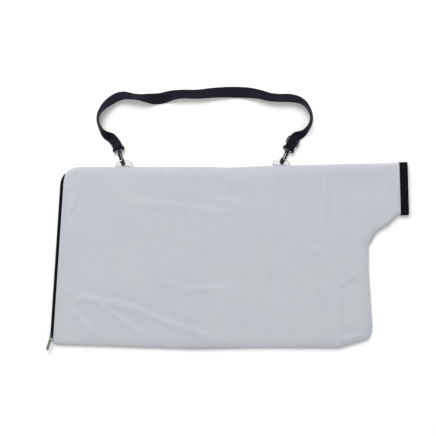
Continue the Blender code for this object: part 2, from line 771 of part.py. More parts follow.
def strap_stations():
    """Each station's middle and the way its width points."""
    left, right = hook_frame("left"), hook_frame("right")
    tail_left = bent(web_from(left, ((26, 0.85), (20, 1.7), (12, 3.2), (5, 4.6))), (6.5, 4.0, 1.4, 0.2))
    rise_left = bent(
        web_from(left, ((5, 10.6), (12, 8.6), (20, 5.8), (27, 4.0), (33, 3.3))), (0.2, 1.4, 4.0, 7.0, 10.4)
    )
    low, high = ADJUSTER_LEVEL - 2.3, ADJUSTER_LEVEL + 2.3
    gap = ADJUSTER_LENGTH / 2 - ADJUSTER_BAR / 2
    near, middle, far = ADJUSTER_AT - gap, ADJUSTER_AT, ADJUSTER_AT + gap
    weave = (
        (far + 1.9, low),
        (far - 1.9, low),
        (middle + 2.0, high),
        (middle - 2.0, high),
        (near + 1.9, low),
        (near - 1.9, low),
        (5.0, 10.0),
        (2.5, 10.8),
    )
    tail = (
        (2.5, 4.75),
        (5.0, 4.4),
        (near - 1.9, low - 2.0),
        (near + 1.9, low - 2.0),
        (middle - 2.0, low),
        (middle + 2.0, low),
        (middle + 3.2, low + 0.2),
    )
    ground = []
    for x, y, lean in STRAP_LINE:
        angle = math.radians(lean)
        height = WEB_WIDTH / 2 * math.sin(angle) + WEB_THICK / 2 * math.cos(angle) + 0.1
        ground.append((Vector((x, BAG_TOP + y, height)), angle))
    ground.append((right @ Vector((2.6, EYE_BAR_AT + far + 7.8, 5.4 - HOOK_LEVEL)), 0.0))
    first_points = tail_left + turn_round_bar(left, True) + rise_left[:2]
    first = [(p, left.to_3x3() @ Vector((1, 0, 0))) for p in first_points]
    last_points = web_from(right, weave) + turn_round_bar(right, False) + web_from(right, tail)
    last = [(p, right.to_3x3() @ Vector((-1, 0, 0))) for p in last_points]
    middle_part = [(p, 0.0) for p in rise_left[2:]] + ground
    found = []
    line = [first[-1][0]] + [p for p, _ in middle_part] + [last[0][0]]
    for i, (point, lean) in enumerate(middle_part):
        way = line[i + 2] - line[i]
        inner = Vector((way.y, -way.x, 0)).normalized()
        found.append((point, inner * math.cos(lean) + Vector((0, 0, math.sin(lean)))))
    return first + found + last


def bridge_webbing(bm, first, second):
    """Joins two sections; both faces split along the same diagonal, so a twist keeps its thickness."""
    for i in range(4):
        k = (i + 1) % 4
        is_upper = i == 2
        if is_upper:
            bm.faces.new((first[i], first[k], second[i]))
            bm.faces.new((first[k], second[k], second[i]))
        else:
            bm.faces.new((first[i], first[k], second[k]))
            bm.faces.new((first[i], second[k], second[i]))


def add_strap(looks, home):
    bm = bmesh.new()
    stations = strap_stations()
    loops = []
    for i, (point, width) in enumerate(stations):
        before = stations[max(i - 1, 0)][0]
        after = stations[min(i + 1, len(stations) - 1)][0]
        way = (after - before).normalized()
        across = (width - way * width.dot(way)).normalized()
        normal = way.cross(across)
        wide, thick = across * WEB_WIDTH / 2, normal * WEB_THICK / 2
        corners = (point - wide - thick, point + wide - thick, point + wide + thick, point - wide + thick)
        raised = Vector((0, 0, max(0.0, 0.05 - min(c.z for c in corners))))
        loops.append([bm.verts.new(c + raised) for c in corners])
    for first, second in zip(loops, loops[1:]):
        bridge_webbing(bm, first, second)
    bm.faces.new(loops[0])
    bm.faces.new(loops[-1])
    return add_object("shoulder_strap", bm, looks["black_webbing"], home)


def add_adjuster(looks, home, cutters):
    spot = Matrix.Translation((0, EYE_BAR_AT + ADJUSTER_AT, ADJUSTER_LEVEL - HOOK_LEVEL))
    place = hook_frame("right") @ spot
    half_wide, half_long = ADJUSTER_WIDTH / 2, ADJUSTER_LENGTH / 2
    corner = 3.0
    corners = (
        (-half_wide, -half_long, corner),
        (half_wide, -half_long, corner),
        (half_wide, half_long, corner),
        (-half_wide, half_long, corner),
    )
    plate = extruded(rounded(corners), -ADJUSTER_THICK / 2, ADJUSTER_THICK / 2)
    middle = place @ Vector((0, 0, 0))
    frame = add_object("strap_adjuster", moved(plate, place), looks["black_nylon"], home, origin=middle)
    for name, side in (("slot_near", -1), ("slot_far", 1)):
        near, far = side * ADJUSTER_BAR / 2, side * (half_long - ADJUSTER_BAR)
        slot = box((-SLOT_WIDTH / 2, min(near, far), -5), (SLOT_WIDTH / 2, max(near, far), 5))
        add_boolean(frame, add_cutter(name, moved(slot, place), cutters), "DIFFERENCE")


def main():
    clear_scene()
    home = new_collection(NAME)
    cutters = new_collection("cutters", is_hidden=True)
    looks = materials()
    add_panel("front_panel", True, looks["bag_cloth"], home)
    add_panel("back_panel", False, looks["bag_cloth"], home)
    add_band(looks["black_binding"], home)
    add_zip(looks, home)
    add_slider(looks, home, cutters)
    add_pull(looks, home, cutters)
    for side in ("left", "right"):
        add_ring(side, looks, home)
        add_tab(side, looks, home)
        add_hook(side, looks, home, cutters)
        add_gate(side, looks, home)
        add_eye(side, looks, home, cutters)
    add_strap(looks, home)
    add_adjuster(looks, home, cutters)


main()
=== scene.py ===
# %% [markdown]
# # A cloth collection bag, laid flat
# The real thing is a bag of thin grey polyester that hangs under a garden blower vacuum. It has two
# cloth panels, a side sleeve with a black elastic band, a zip down one edge, and a webbing strap
# that is clipped to two rings. The solids that carry and move are already made, and they are loaded
# here as a fixed frame. What is left to this lesson is everything that the eye takes for cloth,
# thread, plastic and metal.

# %% The frame that everything is fitted to
import json
import math

import bmesh
import bpy
import numpy as np
from mathutils import Matrix, Vector
from mathutils.geometry import delaunay_2d_cdt

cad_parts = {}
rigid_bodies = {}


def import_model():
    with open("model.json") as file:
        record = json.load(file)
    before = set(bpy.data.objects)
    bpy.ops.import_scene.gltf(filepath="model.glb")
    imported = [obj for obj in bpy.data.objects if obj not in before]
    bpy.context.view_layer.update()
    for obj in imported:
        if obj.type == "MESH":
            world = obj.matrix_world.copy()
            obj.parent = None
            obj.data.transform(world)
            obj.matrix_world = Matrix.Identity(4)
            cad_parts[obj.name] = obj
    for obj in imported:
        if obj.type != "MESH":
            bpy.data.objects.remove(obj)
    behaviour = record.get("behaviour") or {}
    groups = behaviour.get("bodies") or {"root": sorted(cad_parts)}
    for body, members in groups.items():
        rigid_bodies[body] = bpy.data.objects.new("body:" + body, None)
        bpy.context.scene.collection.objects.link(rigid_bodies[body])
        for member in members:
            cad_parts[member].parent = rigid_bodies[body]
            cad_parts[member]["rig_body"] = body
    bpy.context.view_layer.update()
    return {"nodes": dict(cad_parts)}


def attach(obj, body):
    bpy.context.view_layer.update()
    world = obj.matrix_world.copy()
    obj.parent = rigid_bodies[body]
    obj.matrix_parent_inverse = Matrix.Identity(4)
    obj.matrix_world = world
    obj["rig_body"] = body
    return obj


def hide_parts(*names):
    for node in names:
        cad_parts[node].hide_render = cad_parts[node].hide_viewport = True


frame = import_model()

MM = 0.001

# %% [markdown]
# ## Two helpers for finishes
# Colours are given as sRGB hex values, as on any colour chart. Shaders work with light, so
# one function turns each value to linear. The other helper adds a node to a material, sets its
# options and fills its sockets: a socket gets a plain value, or a link if it is given another
# node's output. With these two, a material reads as a list of what is layered on what.


# %% Colour and node helpers
def linear(colour):
    """An sRGB hex colour as the linear values that a shader takes."""
    channels = [int(colour[i : i + 2], 16) / 255 for i in (1, 3, 5)]
    return (*[c / 12.92 if c <= 0.04045 else ((c + 0.055) / 1.055) ** 2.4 for c in channels], 1.0)


def scaled_by(share, colour):
    """A lighter or darker tone of an sRGB hex colour, as linear values."""
    return [share * c for c in linear(colour)[:3]] + [1.0]


def add_node(tree, kind, sockets=None, **options):
    """A new node, with its options set and its sockets filled by values or links."""
    made = tree.nodes.new(kind)
    for name, value in options.items():
        setattr(made, name, value)
    for key, value in (sockets or {}).items():
        if isinstance(value, bpy.types.NodeSocket):
            tree.links.new(value, made.inputs[key])
        else:
            made.inputs[key].default_value = value
    return made


def new_finish(name, roughness, metallic=0.0):
    """An empty material with its shader, ready for colour and relief."""
    made = bpy.data.materials.new(name)
    made.use_nodes = True
    shader = made.node_tree.nodes["Principled BSDF"]
    shader.inputs["Roughness"].default_value = roughness
    shader.inputs["Metallic"].default_value = metallic
    return made, made.node_tree, shader


print("white is", linear("#FFFFFF"))

# %% [markdown]
# ## Grey polyester cloth
# The panels are a plain weave of dyed polyester yarn, about 20 threads to the centimetre. Yarn is
# never quite even: thick stretches, called slubs, run along single threads, and they are what shows
# from a step away as fine streaks both ways. A thread is 0.5 mm wide, too fine for the picture, so
# the streaks are drawn 2 mm wide and some centimetres long. Dyed polyester is a dielectric with an
# IOR of about 1.57. Its loose surface is matt with a soft sheen at a low angle.

# %% Finish: grey polyester cloth
SLUB_WIDTH = 2.0 * MM
SLUB_LENGTH = 34.0 * MM
DYE_PATCH = 90.0 * MM


def streaks(tree, place, along):
    """Noise stretched along one axis of the cloth, as slubs in the yarn are."""
    size = [SLUB_WIDTH, SLUB_WIDTH, SLUB_WIDTH]
    size[along] = SLUB_LENGTH
    scaled = add_node(tree, "ShaderNodeMapping", {"Vector": place, "Scale": [1 / s for s in size]})
    grain = {"Vector": scaled.outputs["Vector"], "Scale": 1.0, "Detail": 2.0, "Roughness": 0.6}
    return add_node(tree, "ShaderNodeTexNoise", grain).outputs["Fac"]


def woven_polyester():
    """Streaks both ways for shade and relief, over a dye that took a little unevenly."""
    made, tree, shader = new_finish("polyester_cloth_plain_woven_dyed_grey", 0.82)
    shader.inputs["IOR"].default_value = 1.57
    shader.inputs["Sheen Weight"].default_value = 0.12
    shader.inputs["Sheen Roughness"].default_value = 0.5
    place = add_node(tree, "ShaderNodeTexCoord").outputs["Object"]
    weft = streaks(tree, place, 0)
    warp = streaks(tree, place, 1)
    both = add_node(tree, "ShaderNodeMath", {0: weft, 1: warp}, operation="ADD").outputs[0]
    contrast = {"Value": both, "From Min": 0.7, "From Max": 1.3}
    thread = add_node(tree, "ShaderNodeMapRange", contrast).outputs["Result"]
    patch = {"Vector": place, "Scale": 1 / DYE_PATCH, "Detail": 3.0, "Roughness": 0.55}
    dye = add_node(tree, "ShaderNodeTexNoise", patch).outputs["Fac"]
    tones = {"Factor": dye, "A": linear("#C2C6CC"), "B": linear("#CBCDD2")}
    even = add_node(tree, "ShaderNodeMix", tones, data_type="RGBA").outputs["Result"]
    shaded = {"Factor": thread, "A": even, "B": linear("#F6F6F7")}
    shade = add_node(tree, "ShaderNodeMix", shaded, data_type="RGBA", blend_type="MULTIPLY")
    tree.links.new(shade.outputs["Result"], shader.inputs["Base Color"])
    relief = {"Height": both, "Strength": 0.35, "Distance": 0.25 * MM}
    bump = add_node(tree, "ShaderNodeBump", relief)
    tree.links.new(bump.outputs["Normal"], shader.inputs["Normal"])
    return made


CLOTH_FINISH = woven_polyester()
print("finish:", CLOTH_FINISH.name)

# %% [markdown]
# ## Webbing, tape and elastic
# Webbing is polypropylene yarn woven tight in ribs across its width. The ribs of a strap are about
# 1 mm apart, which is under a pixel here, so they are drawn 2.4 mm apart, and the chevron that the
# doubled weave gives is kept. Each ribbon carries its own coordinates: u runs across it and v along
# it, both in metres, so the ribs follow every bend. Dyed black yarn is never pure black, because
# its round threads catch some light. That light is painted into the colour as a lighter tone on the
# rib crests, and the troughs between them are painted darker as shade, both varied by random noise.
# Deep between the ribs little light comes back, so the specular level is well below the usual one.

# %% Finish: ribbed weaves that follow a ribbon
RIB_PITCH = 2.4 * MM
WAVE_PERIOD = 2 * math.pi / 20  # the length of one band of Blender's wave texture at scale 1


def ribbed_weave(name, colours, pitch, chevron, roughness, depth):
    """Ribs across a ribbon and cords along it, which lean to a chevron where told."""
    made, tree, shader = new_finish(name, roughness)
    shader.inputs["IOR"].default_value = 1.49
    shader.inputs["Specular IOR Level"].default_value = 0.1  # yarns shade each other
    shader.inputs["Sheen Weight"].default_value = 0.01
    shader.inputs["Sheen Roughness"].default_value = 0.4
    ribbon = add_node(tree, "ShaderNodeUVMap", uv_map="ribbon").outputs["UV"]
    parts = add_node(tree, "ShaderNodeSeparateXYZ", {"Vector": ribbon})
    half_strap = {0: parts.outputs["X"], 1: 6 * pitch}
    fold = add_node(tree, "ShaderNodeMath", half_strap, operation="PINGPONG").outputs[0]
    lean = add_node(tree, "ShaderNodeMath", {0: fold, 1: chevron}, operation="MULTIPLY").outputs[0]
    run = add_node(tree, "ShaderNodeMath", {0: parts.outputs["Y"], 1: lean}, operation="ADD").outputs[0]
    slanted = {"X": parts.outputs["X"], "Y": run}
    leaning = add_node(tree, "ShaderNodeCombineXYZ", slanted).outputs["Vector"]
    rib = {"Vector": leaning, "Scale": WAVE_PERIOD / pitch}
    ribs = add_node(tree, "ShaderNodeTexWave", rib, bands_direction="Y").outputs["Fac"]
    cord = {"Vector": leaning, "Scale": WAVE_PERIOD / (pitch * 1.5)}
    cords = add_node(tree, "ShaderNodeTexWave", cord, bands_direction="X").outputs["Fac"]
    height = add_node(tree, "ShaderNodeMath", {0: ribs, 1: cords}, operation="ADD").outputs[0]
    # random noise that varies how strongly the painted rib light shows
    rib_light_noise_options = {"Vector": ribbon, "Scale": 1 / (9 * MM), "Detail": 3.0}
    rib_light_noise = add_node(tree, "ShaderNodeTexNoise", rib_light_noise_options).outputs["Fac"]
    # painted highlight on the rib crests and painted shade between the ribs, mixed into the colour
    painted_rib_light = add_node(tree, "ShaderNodeMath", {0: ribs, 1: rib_light_noise}, operation="MULTIPLY").outputs[0]
    tones = {"Factor": painted_rib_light, "A": linear(colours[0]), "B": linear(colours[1])}
    shade = add_node(tree, "ShaderNodeMix", tones, data_type="RGBA")
    tree.links.new(shade.outputs["Result"], shader.inputs["Base Color"])
    bump = add_node(tree, "ShaderNodeBump", {"Height": height, "Strength": 0.7, "Distance": depth})
    tree.links.new(bump.outputs["Normal"], shader.inputs["Normal"])
    return made


WEBBING_FINISH = ribbed_weave(
    "polypropylene_webbing_woven_black", ("#0B0914", "#211E30"), RIB_PITCH, 0.35, 0.62, 0.35 * MM
)
TAPE_FINISH = ribbed_weave(
    "polyester_zip_tape_woven_black", ("#0C0B10", "#1F1E25"), 1.2 * MM, 1.0, 0.8, 0.12 * MM
)
ELASTIC_FINISH = ribbed_weave(
    "elastic_band_braided_black", ("#09080D", "#19181F"), 1.6 * MM, 0.0, 0.78, 0.2 * MM
)
print("finishes:", WEBBING_FINISH.name, TAPE_FINISH.name, ELASTIC_FINISH.name)

# %% [markdown]
# ## Moulded nylon
# Hooks, eyes and the adjuster are injection-moulded nylon, IOR about 1.53. The mould was spark
# eroded, which leaves an even, slightly rough skin with soft highlights. The grain is about 0.2 mm;
# it is drawn at 0.8 mm, and handling has polished it unevenly, so the roughness wanders a little.

# %% Finish: moulded nylon
GRAIN = 0.8 * MM


def moulded_nylon(name, colour):
    """A fine even grain as relief, under a gloss that wanders."""
    made, tree, shader = new_finish(name, 0.42)
    shader.inputs["IOR"].default_value = 1.53
    shader.inputs["Specular IOR Level"].default_value = 0.2
    place = add_node(tree, "ShaderNodeTexCoord").outputs["Object"]
    skin = add_node(tree, "ShaderNodeTexNoise", {"Vector": place, "Scale": 1 / GRAIN, "Detail": 2.0})
    handled = add_node(tree, "ShaderNodeTexNoise", {"Vector": place, "Scale": 1 / (12 * MM)})
    limits = {"Value": handled.outputs["Fac"], "To Min": 0.34, "To Max": 0.56}
    gloss = add_node(tree, "ShaderNodeMapRange", limits)
    tree.links.new(gloss.outputs["Result"], shader.inputs["Roughness"])
    tones = {"Factor": handled.outputs["Fac"], "A": linear(colour), "B": scaled_by(1.25, colour)}
    shade = add_node(tree, "ShaderNodeMix", tones, data_type="RGBA")
    tree.links.new(shade.outputs["Result"], shader.inputs["Base Color"])
    relief = {"Height": skin.outputs["Fac"], "Strength": 0.3, "Distance": 0.06 * MM}
    bump = add_node(tree, "ShaderNodeBump", relief)
    tree.links.new(bump.outputs["Normal"], shader.inputs["Normal"])
    return made


BLACK_NYLON = moulded_nylon("nylon_moulded_black", "#0E0F13")
GREY_NYLON = moulded_nylon("nylon_moulded_grey", "#55565B")
TEETH_NYLON = moulded_nylon("nylon_zip_coil_black", "#101015")
print("finishes:", BLACK_NYLON.name, GREY_NYLON.name, TEETH_NYLON.name)

# %% [markdown]
# ## Nickel plate and zinc
# The rings are bent from steel wire and plated with bright nickel, which is smooth and reflects the
# white room. The zip's pull is stamped from sheet steel and has a thin, duller plating, so it is
# greyer. The slider and the zip's stops are die-cast zinc, tumbled and blackened to go with the
# tape, so they are dark and rougher. Metals keep the default IOR, because their colour already sets
# how they reflect. The grain of a plating is too fine to show, so its patches are drawn 1 to 2 mm
# wide.

# %% Finish: metals


def plated(name, colour, roughness, spread, grain_size, depth):
    """A metal whose tone and gloss vary in small patches."""
    made, tree, shader = new_finish(name, roughness, metallic=1.0)
    place = add_node(tree, "ShaderNodeTexCoord").outputs["Object"]
    grain = {"Vector": place, "Scale": 1 / grain_size, "Detail": 3.0, "Roughness": 0.6}
    marks = add_node(tree, "ShaderNodeTexNoise", grain).outputs["Fac"]
    limits = {"Value": marks, "To Min": roughness - spread, "To Max": roughness + spread}
    gloss = add_node(tree, "ShaderNodeMapRange", limits)
    tree.links.new(gloss.outputs["Result"], shader.inputs["Roughness"])
    tones = {"Factor": marks, "A": scaled_by(0.8, colour), "B": linear(colour)}
    shade = add_node(tree, "ShaderNodeMix", tones, data_type="RGBA")
    tree.links.new(shade.outputs["Result"], shader.inputs["Base Color"])
    bump = add_node(tree, "ShaderNodeBump", {"Height": marks, "Strength": 0.25, "Distance": depth})
    tree.links.new(bump.outputs["Normal"], shader.inputs["Normal"])
    return made


# colour, roughness and its spread, size of the patches and depth of their relief
PLATED_WIRE = plated("steel_wire_nickel_plated", "#DAD8D4", 0.2, 0.08, 2.0 * MM, 0.03 * MM)
PLATED_SHEET = plated("steel_sheet_stamped_nickel_plated", "#8C8B8C", 0.3, 0.1, 1.5 * MM, 0.04 * MM)
DARK_ZINC = plated("zinc_die_cast_blackened", "#2E2E33", 0.42, 0.1, 1.0 * MM, 0.05 * MM)
print("finishes:", PLATED_WIRE.name, PLATED_SHEET.name, DARK_ZINC.name)

# %% [markdown]
# ## Sewing thread
# Spun polyester thread is two or three twisted plies. A twist is about 1 mm long, and it shows as a
# slanted shade on each stitch. The grey thread matches the cloth, and the black one the webbing.

# %% Finish: sewing thread


def spun_thread(name, colours):
    """Twisted plies, as slanted bands of shade and relief."""
    made, tree, shader = new_finish(name, 0.7)
    shader.inputs["IOR"].default_value = 1.57
    place = add_node(tree, "ShaderNodeTexCoord").outputs["Object"]
    twist = {"Vector": place, "Scale": WAVE_PERIOD / (1.0 * MM)}
    plies = add_node(tree, "ShaderNodeTexWave", twist, bands_direction="DIAGONAL").outputs["Fac"]
    tones = {"Factor": plies, "A": linear(colours[0]), "B": linear(colours[1])}
    shade = add_node(tree, "ShaderNodeMix", tones, data_type="RGBA")
    tree.links.new(shade.outputs["Result"], shader.inputs["Base Color"])
    bump = add_node(tree, "ShaderNodeBump", {"Height": plies, "Strength": 0.4, "Distance": 0.1 * MM})
    tree.links.new(bump.outputs["Normal"], shader.inputs["Normal"])
    return made


GREY_THREAD = spun_thread("polyester_thread_spun_grey", ("#A9AEB4", "#C6CACE"))
BLACK_THREAD = spun_thread("polyester_thread_spun_black", ("#14141A", "#3A3944"))
print("finishes:", GREY_THREAD.name, BLACK_THREAD.name)

# %% [markdown]
# ## Helpers that put a mesh in its place
# Every piece is modelled where it lies, in millimetres, and then brought to metres. A piece that
# takes over from a solid moves with the same body, and the solid is hidden, so that is one helper too.


def new_piece(name, points, faces, finish, is_smooth=True):
    """A mesh object from points in millimetres."""
    mesh = bpy.data.meshes.new(name)
    mesh.from_pydata([tuple(float(c) * MM for c in p) for p in points], [], faces)
    mesh.validate()
    mesh.materials.append(finish)
    if is_smooth:
        mesh.shade_smooth()
    made = bpy.data.objects.new(name, mesh)
    bpy.context.scene.collection.objects.link(made)
    return made


def outward(piece):
    """Turns a closed piece's faces to point out."""
    bm = bmesh.new()
    bm.from_mesh(piece.data)
    bmesh.ops.recalc_face_normals(bm, faces=bm.faces)
    if bm.calc_volume(signed=True) < 0:
        bmesh.ops.reverse_faces(bm, faces=bm.faces)
    bm.to_mesh(piece.data)
    bm.free()
    return piece


def stand_for(piece, *nodes):
    """The piece rides on the first node's body and replaces them all."""
    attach(piece, frame["nodes"][nodes[0]]["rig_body"])
    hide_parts(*nodes)
    return piece


def thicken(piece, thickness, offset):
    """Gives a surface a thickness in millimetres, inwards for an offset of -1, else both ways."""
    thick = piece.modifiers.new("thickness", "SOLIDIFY")
    thick.thickness = thickness * MM
    thick.offset = offset


def add_map(piece, coordinates):
    """Gives each vertex its place across and along a ribbon, in metres."""
    layer = piece.data.uv_layers.new(name="ribbon")
    for loop in piece.data.loops:
        layer.data[loop.index].uv = coordinates[loop.vertex_index]


# %% [markdown]
# ## Softened mouldings
# The hooks, eyes, adjuster, slider and pull have the right shape already, but their edges are knife
# sharp, and no moulding or casting is. Copying a solid, merging the triangles of each flat side back
# into one face and then bevelling the sharp edges gives the small round edge that catches the light.

# %% Round the edges of the hard pieces
SAME_POINT = 0.002  # points closer than this are one
FLAT_WITHIN = math.radians(1.0)
SHARP_FROM = math.radians(28.0)
SHADED_SHARP_FROM = math.radians(40.0)


def softened(node, name, finish, width):
    """A copy of a solid with rounded edges, which then stands for it."""
    bm = bmesh.new()
    bm.from_mesh(frame["nodes"][node].data)
    bmesh.ops.remove_doubles(bm, verts=bm.verts, dist=SAME_POINT * MM)
    bmesh.ops.dissolve_limit(bm, angle_limit=FLAT_WITHIN, verts=bm.verts, edges=bm.edges)
    mesh = bpy.data.meshes.new(name)
    bm.to_mesh(mesh)
    bm.free()
    mesh.materials.append(finish)
    made = bpy.data.objects.new(name, mesh)
    bpy.context.scene.collection.objects.link(made)
    edge = made.modifiers.new("round_edge", "BEVEL")
    edge.width = width * MM
    edge.segments = 3
    edge.limit_method = "ANGLE"
    edge.angle_limit = SHARP_FROM
    edge.use_clamp_overlap = True
    edge.harden_normals = False
    mesh.shade_smooth()
    mesh.set_sharp_from_angle(angle=SHADED_SHARP_FROM)
    stand_for(made, node)


# solid, new piece, finish and how far its edges are rounded in millimetres
HARD_PIECES = (
    ("snap_hook_left", "moulded_hook_left", BLACK_NYLON, 0.7),
    ("hook_gate_left", "moulded_gate_left", GREY_NYLON, 0.35),
    ("hook_eye_left", "moulded_eye_left", BLACK_NYLON, 0.5),
    ("snap_hook_right", "moulded_hook_right", BLACK_NYLON, 0.7),
    ("hook_gate_right", "moulded_gate_right", GREY_NYLON, 0.35),
    ("hook_eye_right", "moulded_eye_right", BLACK_NYLON, 0.5),
    ("strap_adjuster", "moulded_adjuster", BLACK_NYLON, 0.6),
    ("zip_slider", "cast_slider", DARK_ZINC, 0.2),
    ("zip_pull", "stamped_pull", PLATED_SHEET, 0.25),
    ("zip_stop_top", "crimped_stop_top", DARK_ZINC, 0.25),
    ("zip_stop_bottom", "crimped_stop_bottom", DARK_ZINC, 0.25),
)
for node, name, finish, width in HARD_PIECES:
    softened(node, name, finish, width)
print("softened pieces:", len(HARD_PIECES))

# %% [markdown]
# ## The bag's outline
# Seen from above the bag is one outline with rounded corners, and the sleeve runs out of its right
# side at a small angle. The corners are listed one by one and each carries its own radius. The zip lies
# in a frame of its own along the left edge: u goes inwards and v up the edge.

# %% Corners, sleeve and zip frame
BAG_LEFT, BAG_RIGHT, BAG_BOTTOM, BAG_TOP = -407.5, 407.5, -236.0, 236.0
SEAM_HEIGHT = 6.5
SEAM_SLIT = 0.25  # half of the gap between the panels at the seam
# corners from the lower left to the sleeve, each with x, y and its radius
BASE_LINE = (
    (BAG_LEFT - 14.3, BAG_BOTTOM + 19.5, 6.0),
    (BAG_LEFT + 2.5, BAG_BOTTOM + 9.0, 9.0),
    (-182.0, BAG_BOTTOM + 2.0, 90.0),
    (-49.0, BAG_BOTTOM - 2.0, 90.0),
    (140.0, BAG_BOTTOM + 1.0, 90.0),
    (BAG_RIGHT - 77.5, BAG_BOTTOM, 30.0),
    (BAG_RIGHT - 29.5, BAG_BOTTOM + 14.0, 14.0),
    (BAG_RIGHT + 1.5, BAG_BOTTOM + 24.0, 18.0),
    (BAG_RIGHT + 9.5, BAG_BOTTOM + 52.0, 30.0),
    (BAG_RIGHT + 5.5, BAG_BOTTOM + 118.0, 60.0),
    (BAG_RIGHT, BAG_TOP - 266.0, 60.0),
    (BAG_RIGHT, BAG_TOP - 204.0, 26.0),
    (BAG_RIGHT + 20.5, BAG_TOP - 171.0, 12.0),
    (BAG_RIGHT + 52.0, BAG_TOP - 151.0, 20.0),
)
TOP_LINE = (
    (BAG_RIGHT + 32.5, BAG_TOP + 9.0, 60.0),
    (153.0, BAG_TOP + 2.7, 90.0),
    (36.0, BAG_TOP - 2.0, 60.0),
    (0.0, BAG_TOP, 60.0),
    (BAG_LEFT + 15.6, BAG_TOP, 50.0),
)
MOUTH = np.array((BAG_RIGHT + 102.0, BAG_TOP - 56.8))
MOUTH_TURN = math.radians(1.65)
FORWARD = np.array((math.cos(MOUTH_TURN), math.sin(MOUTH_TURN)))
SIDEWAYS = np.array((-FORWARD[1], FORWARD[0]))
SLEEVE_HALF_WIDTH = 68.1
BAND_LENGTH = 21.3
ZIP_START = np.array((BAG_LEFT, 0.0))
ZIP_TURN = -math.atan(0.066)
INWARD = np.array((math.cos(ZIP_TURN), math.sin(ZIP_TURN)))
ALONG = np.array((-INWARD[1], INWARD[0]))
ZIP_WINDOW = (-211.0, 190.0)  # from where to where along the edge the zip runs
ZIP_EDGE = 9.0  # how far the cloth is drawn back there
SLEEVE_END = -1.0  # the cloth ends this far inside the band's mouth
print("corners set by hand:", len(BASE_LINE) + len(TOP_LINE))

# %% Helpers for outlines


def rounded(corners, step=7.0):
    """A closed outline whose corners carry a radius each, with an arc's point every few degrees."""
    found = []
    for i, (x, y, radius) in enumerate(corners):
        here = Vector((x, y))
        if not radius:
            found.append((x, y))
            continue
        before = (Vector(corners[i - 1][:2]) - here).normalized()
        after = (Vector(corners[(i + 1) % len(corners)][:2]) - here).normalized()
        half = before.angle(after) / 2
        centre = here + (before + after).normalized() * radius / math.sin(half)
        start = here + before * radius / math.tan(half) - centre
        end = here + after * radius / math.tan(half) - centre
        sweep = start.angle_signed(end)
        steps = max(1, round(abs(math.degrees(sweep)) / step))
        for k in range(steps + 1):
            found.append(tuple(centre + Matrix.Rotation(-sweep * k / steps, 2) @ start))
    return found


def spaced(line, step, is_closed=True):
    """The same line with a point every few millimetres."""
    ends = [*line, line[0]] if is_closed else list(line)
    ends = np.array(ends, float)
    runs = np.linalg.norm(np.diff(ends, axis=0), axis=1)
    reach = np.concatenate(([0.0], np.cumsum(runs)))
    count = max(2, int(round(reach[-1] / step)))
    at = np.linspace(0, reach[-1], count + 1)
    found = np.stack([np.interp(at, reach, ends[:, k]) for k in range(ends.shape[1])], axis=1)
    return found[:-1] if is_closed else found


square = [(0.0, 0.0, 10.0), (50.0, 0.0, 10.0), (50.0, 50.0, 10.0), (0.0, 50.0, 10.0)]
print("a square with round corners has", len(rounded(square)), "points")

# %% The sleeve and the whole seam line


def mouth_point(along, across):
    """A place by how far it is past the band's mouth and from the sleeve's middle."""
    return MOUTH + FORWARD * along + SIDEWAYS * across


def zip_point(u, v):
    """A place by how far it is inwards from the zip's edge and up along it."""
    return ZIP_START + INWARD * u + ALONG * v


sleeve = tuple(
    (*mouth_point(along, side * SLEEVE_HALF_WIDTH), 0.0)
    for side, steps in ((-1, (-28.0, 60.0)), (1, (60.0, -28.0)))
    for along in steps
)
SEAM_LINE = np.array(rounded(BASE_LINE + sleeve + TOP_LINE))
print("the seam line has", len(SEAM_LINE), "points")

# %% [markdown]
# ## The lie of the cloth
# Cloth that lies flat is not a plane. It is fullest in the middle, falls to the seam round its rim,
# swells a little where nothing holds it, and keeps soft creases from being folded. All of that is
# one height for each place on the panel, so it is written as a function, which also tells the
# stitches where to lie. A crease is a line with a width and a height: a low ridge with a shallow
# trough on one side, which fades out at both ends.

# %% Creases
BAG_HEIGHT = 13.0
SLEEVE_LIFT = 1.5  # the band holds the sleeve this much higher
CLOTH = 0.6
LONG_CREASE = ((-387, -78), (-348, -105), (-281, -115), (-208, -131), (-148, -157), (-83, -183), (34, -220))
# width, height and line of each crease
CREASES = (
    (9.0, 1.5, LONG_CREASE),
    (8.0, 1.2, ((-308, -115), (-240, -160), (-166, -211))),
    (8.0, 1.2, ((-372, -131), (-304, -198), (-268, -221))),
    (6.0, 0.9, ((-352, 169), (-361, 139), (-380, 106))),
    (9.0, 0.8, ((-243, 148), (-119, 137), (-9, 119), (100, 116))),
    (10.0, 0.9, ((2, 152), (62, 136), (122, 123))),
    (12.0, 1.0, ((12, 225), (38, 206), (90, 190))),
    (9.0, 0.9, ((292, 225), (296, 150), (290, 60))),
    (8.0, 1.2, ((333, -95), (330, -160), (338, -228))),
    (7.0, 1.0, ((379, -42), (350, -60), (319, -88))),
    (6.0, 0.9, ((395, -80), (392, -130), (398, -186))),
    (6.0, 1.1, ((328, -234), (338, -214), (398, -201))),
    (5.0, 0.9, ((455, 233), (459, 170), (460, 108))),
    (5.0, 0.7, ((444, 225), (448, 180), (452, 150))),
    (8.0, 0.7, ((240, 30), (300, 6), (372, 0))),
    (9.0, 0.8, ((-150, -60), (-60, -84), (60, -78))),
)
print("creases:", len(CREASES))

# %% [markdown]
# ## Distances and waves
# Two functions shape the cloth. One tells how far each place is from a line: from the seam that is
# how deep inside the panel it lies, and from a crease how far across. The other adds up waves whose
# directions and lengths look random. They come from a fixed seed, so each run gives the same bag.

# %% Distances and waves


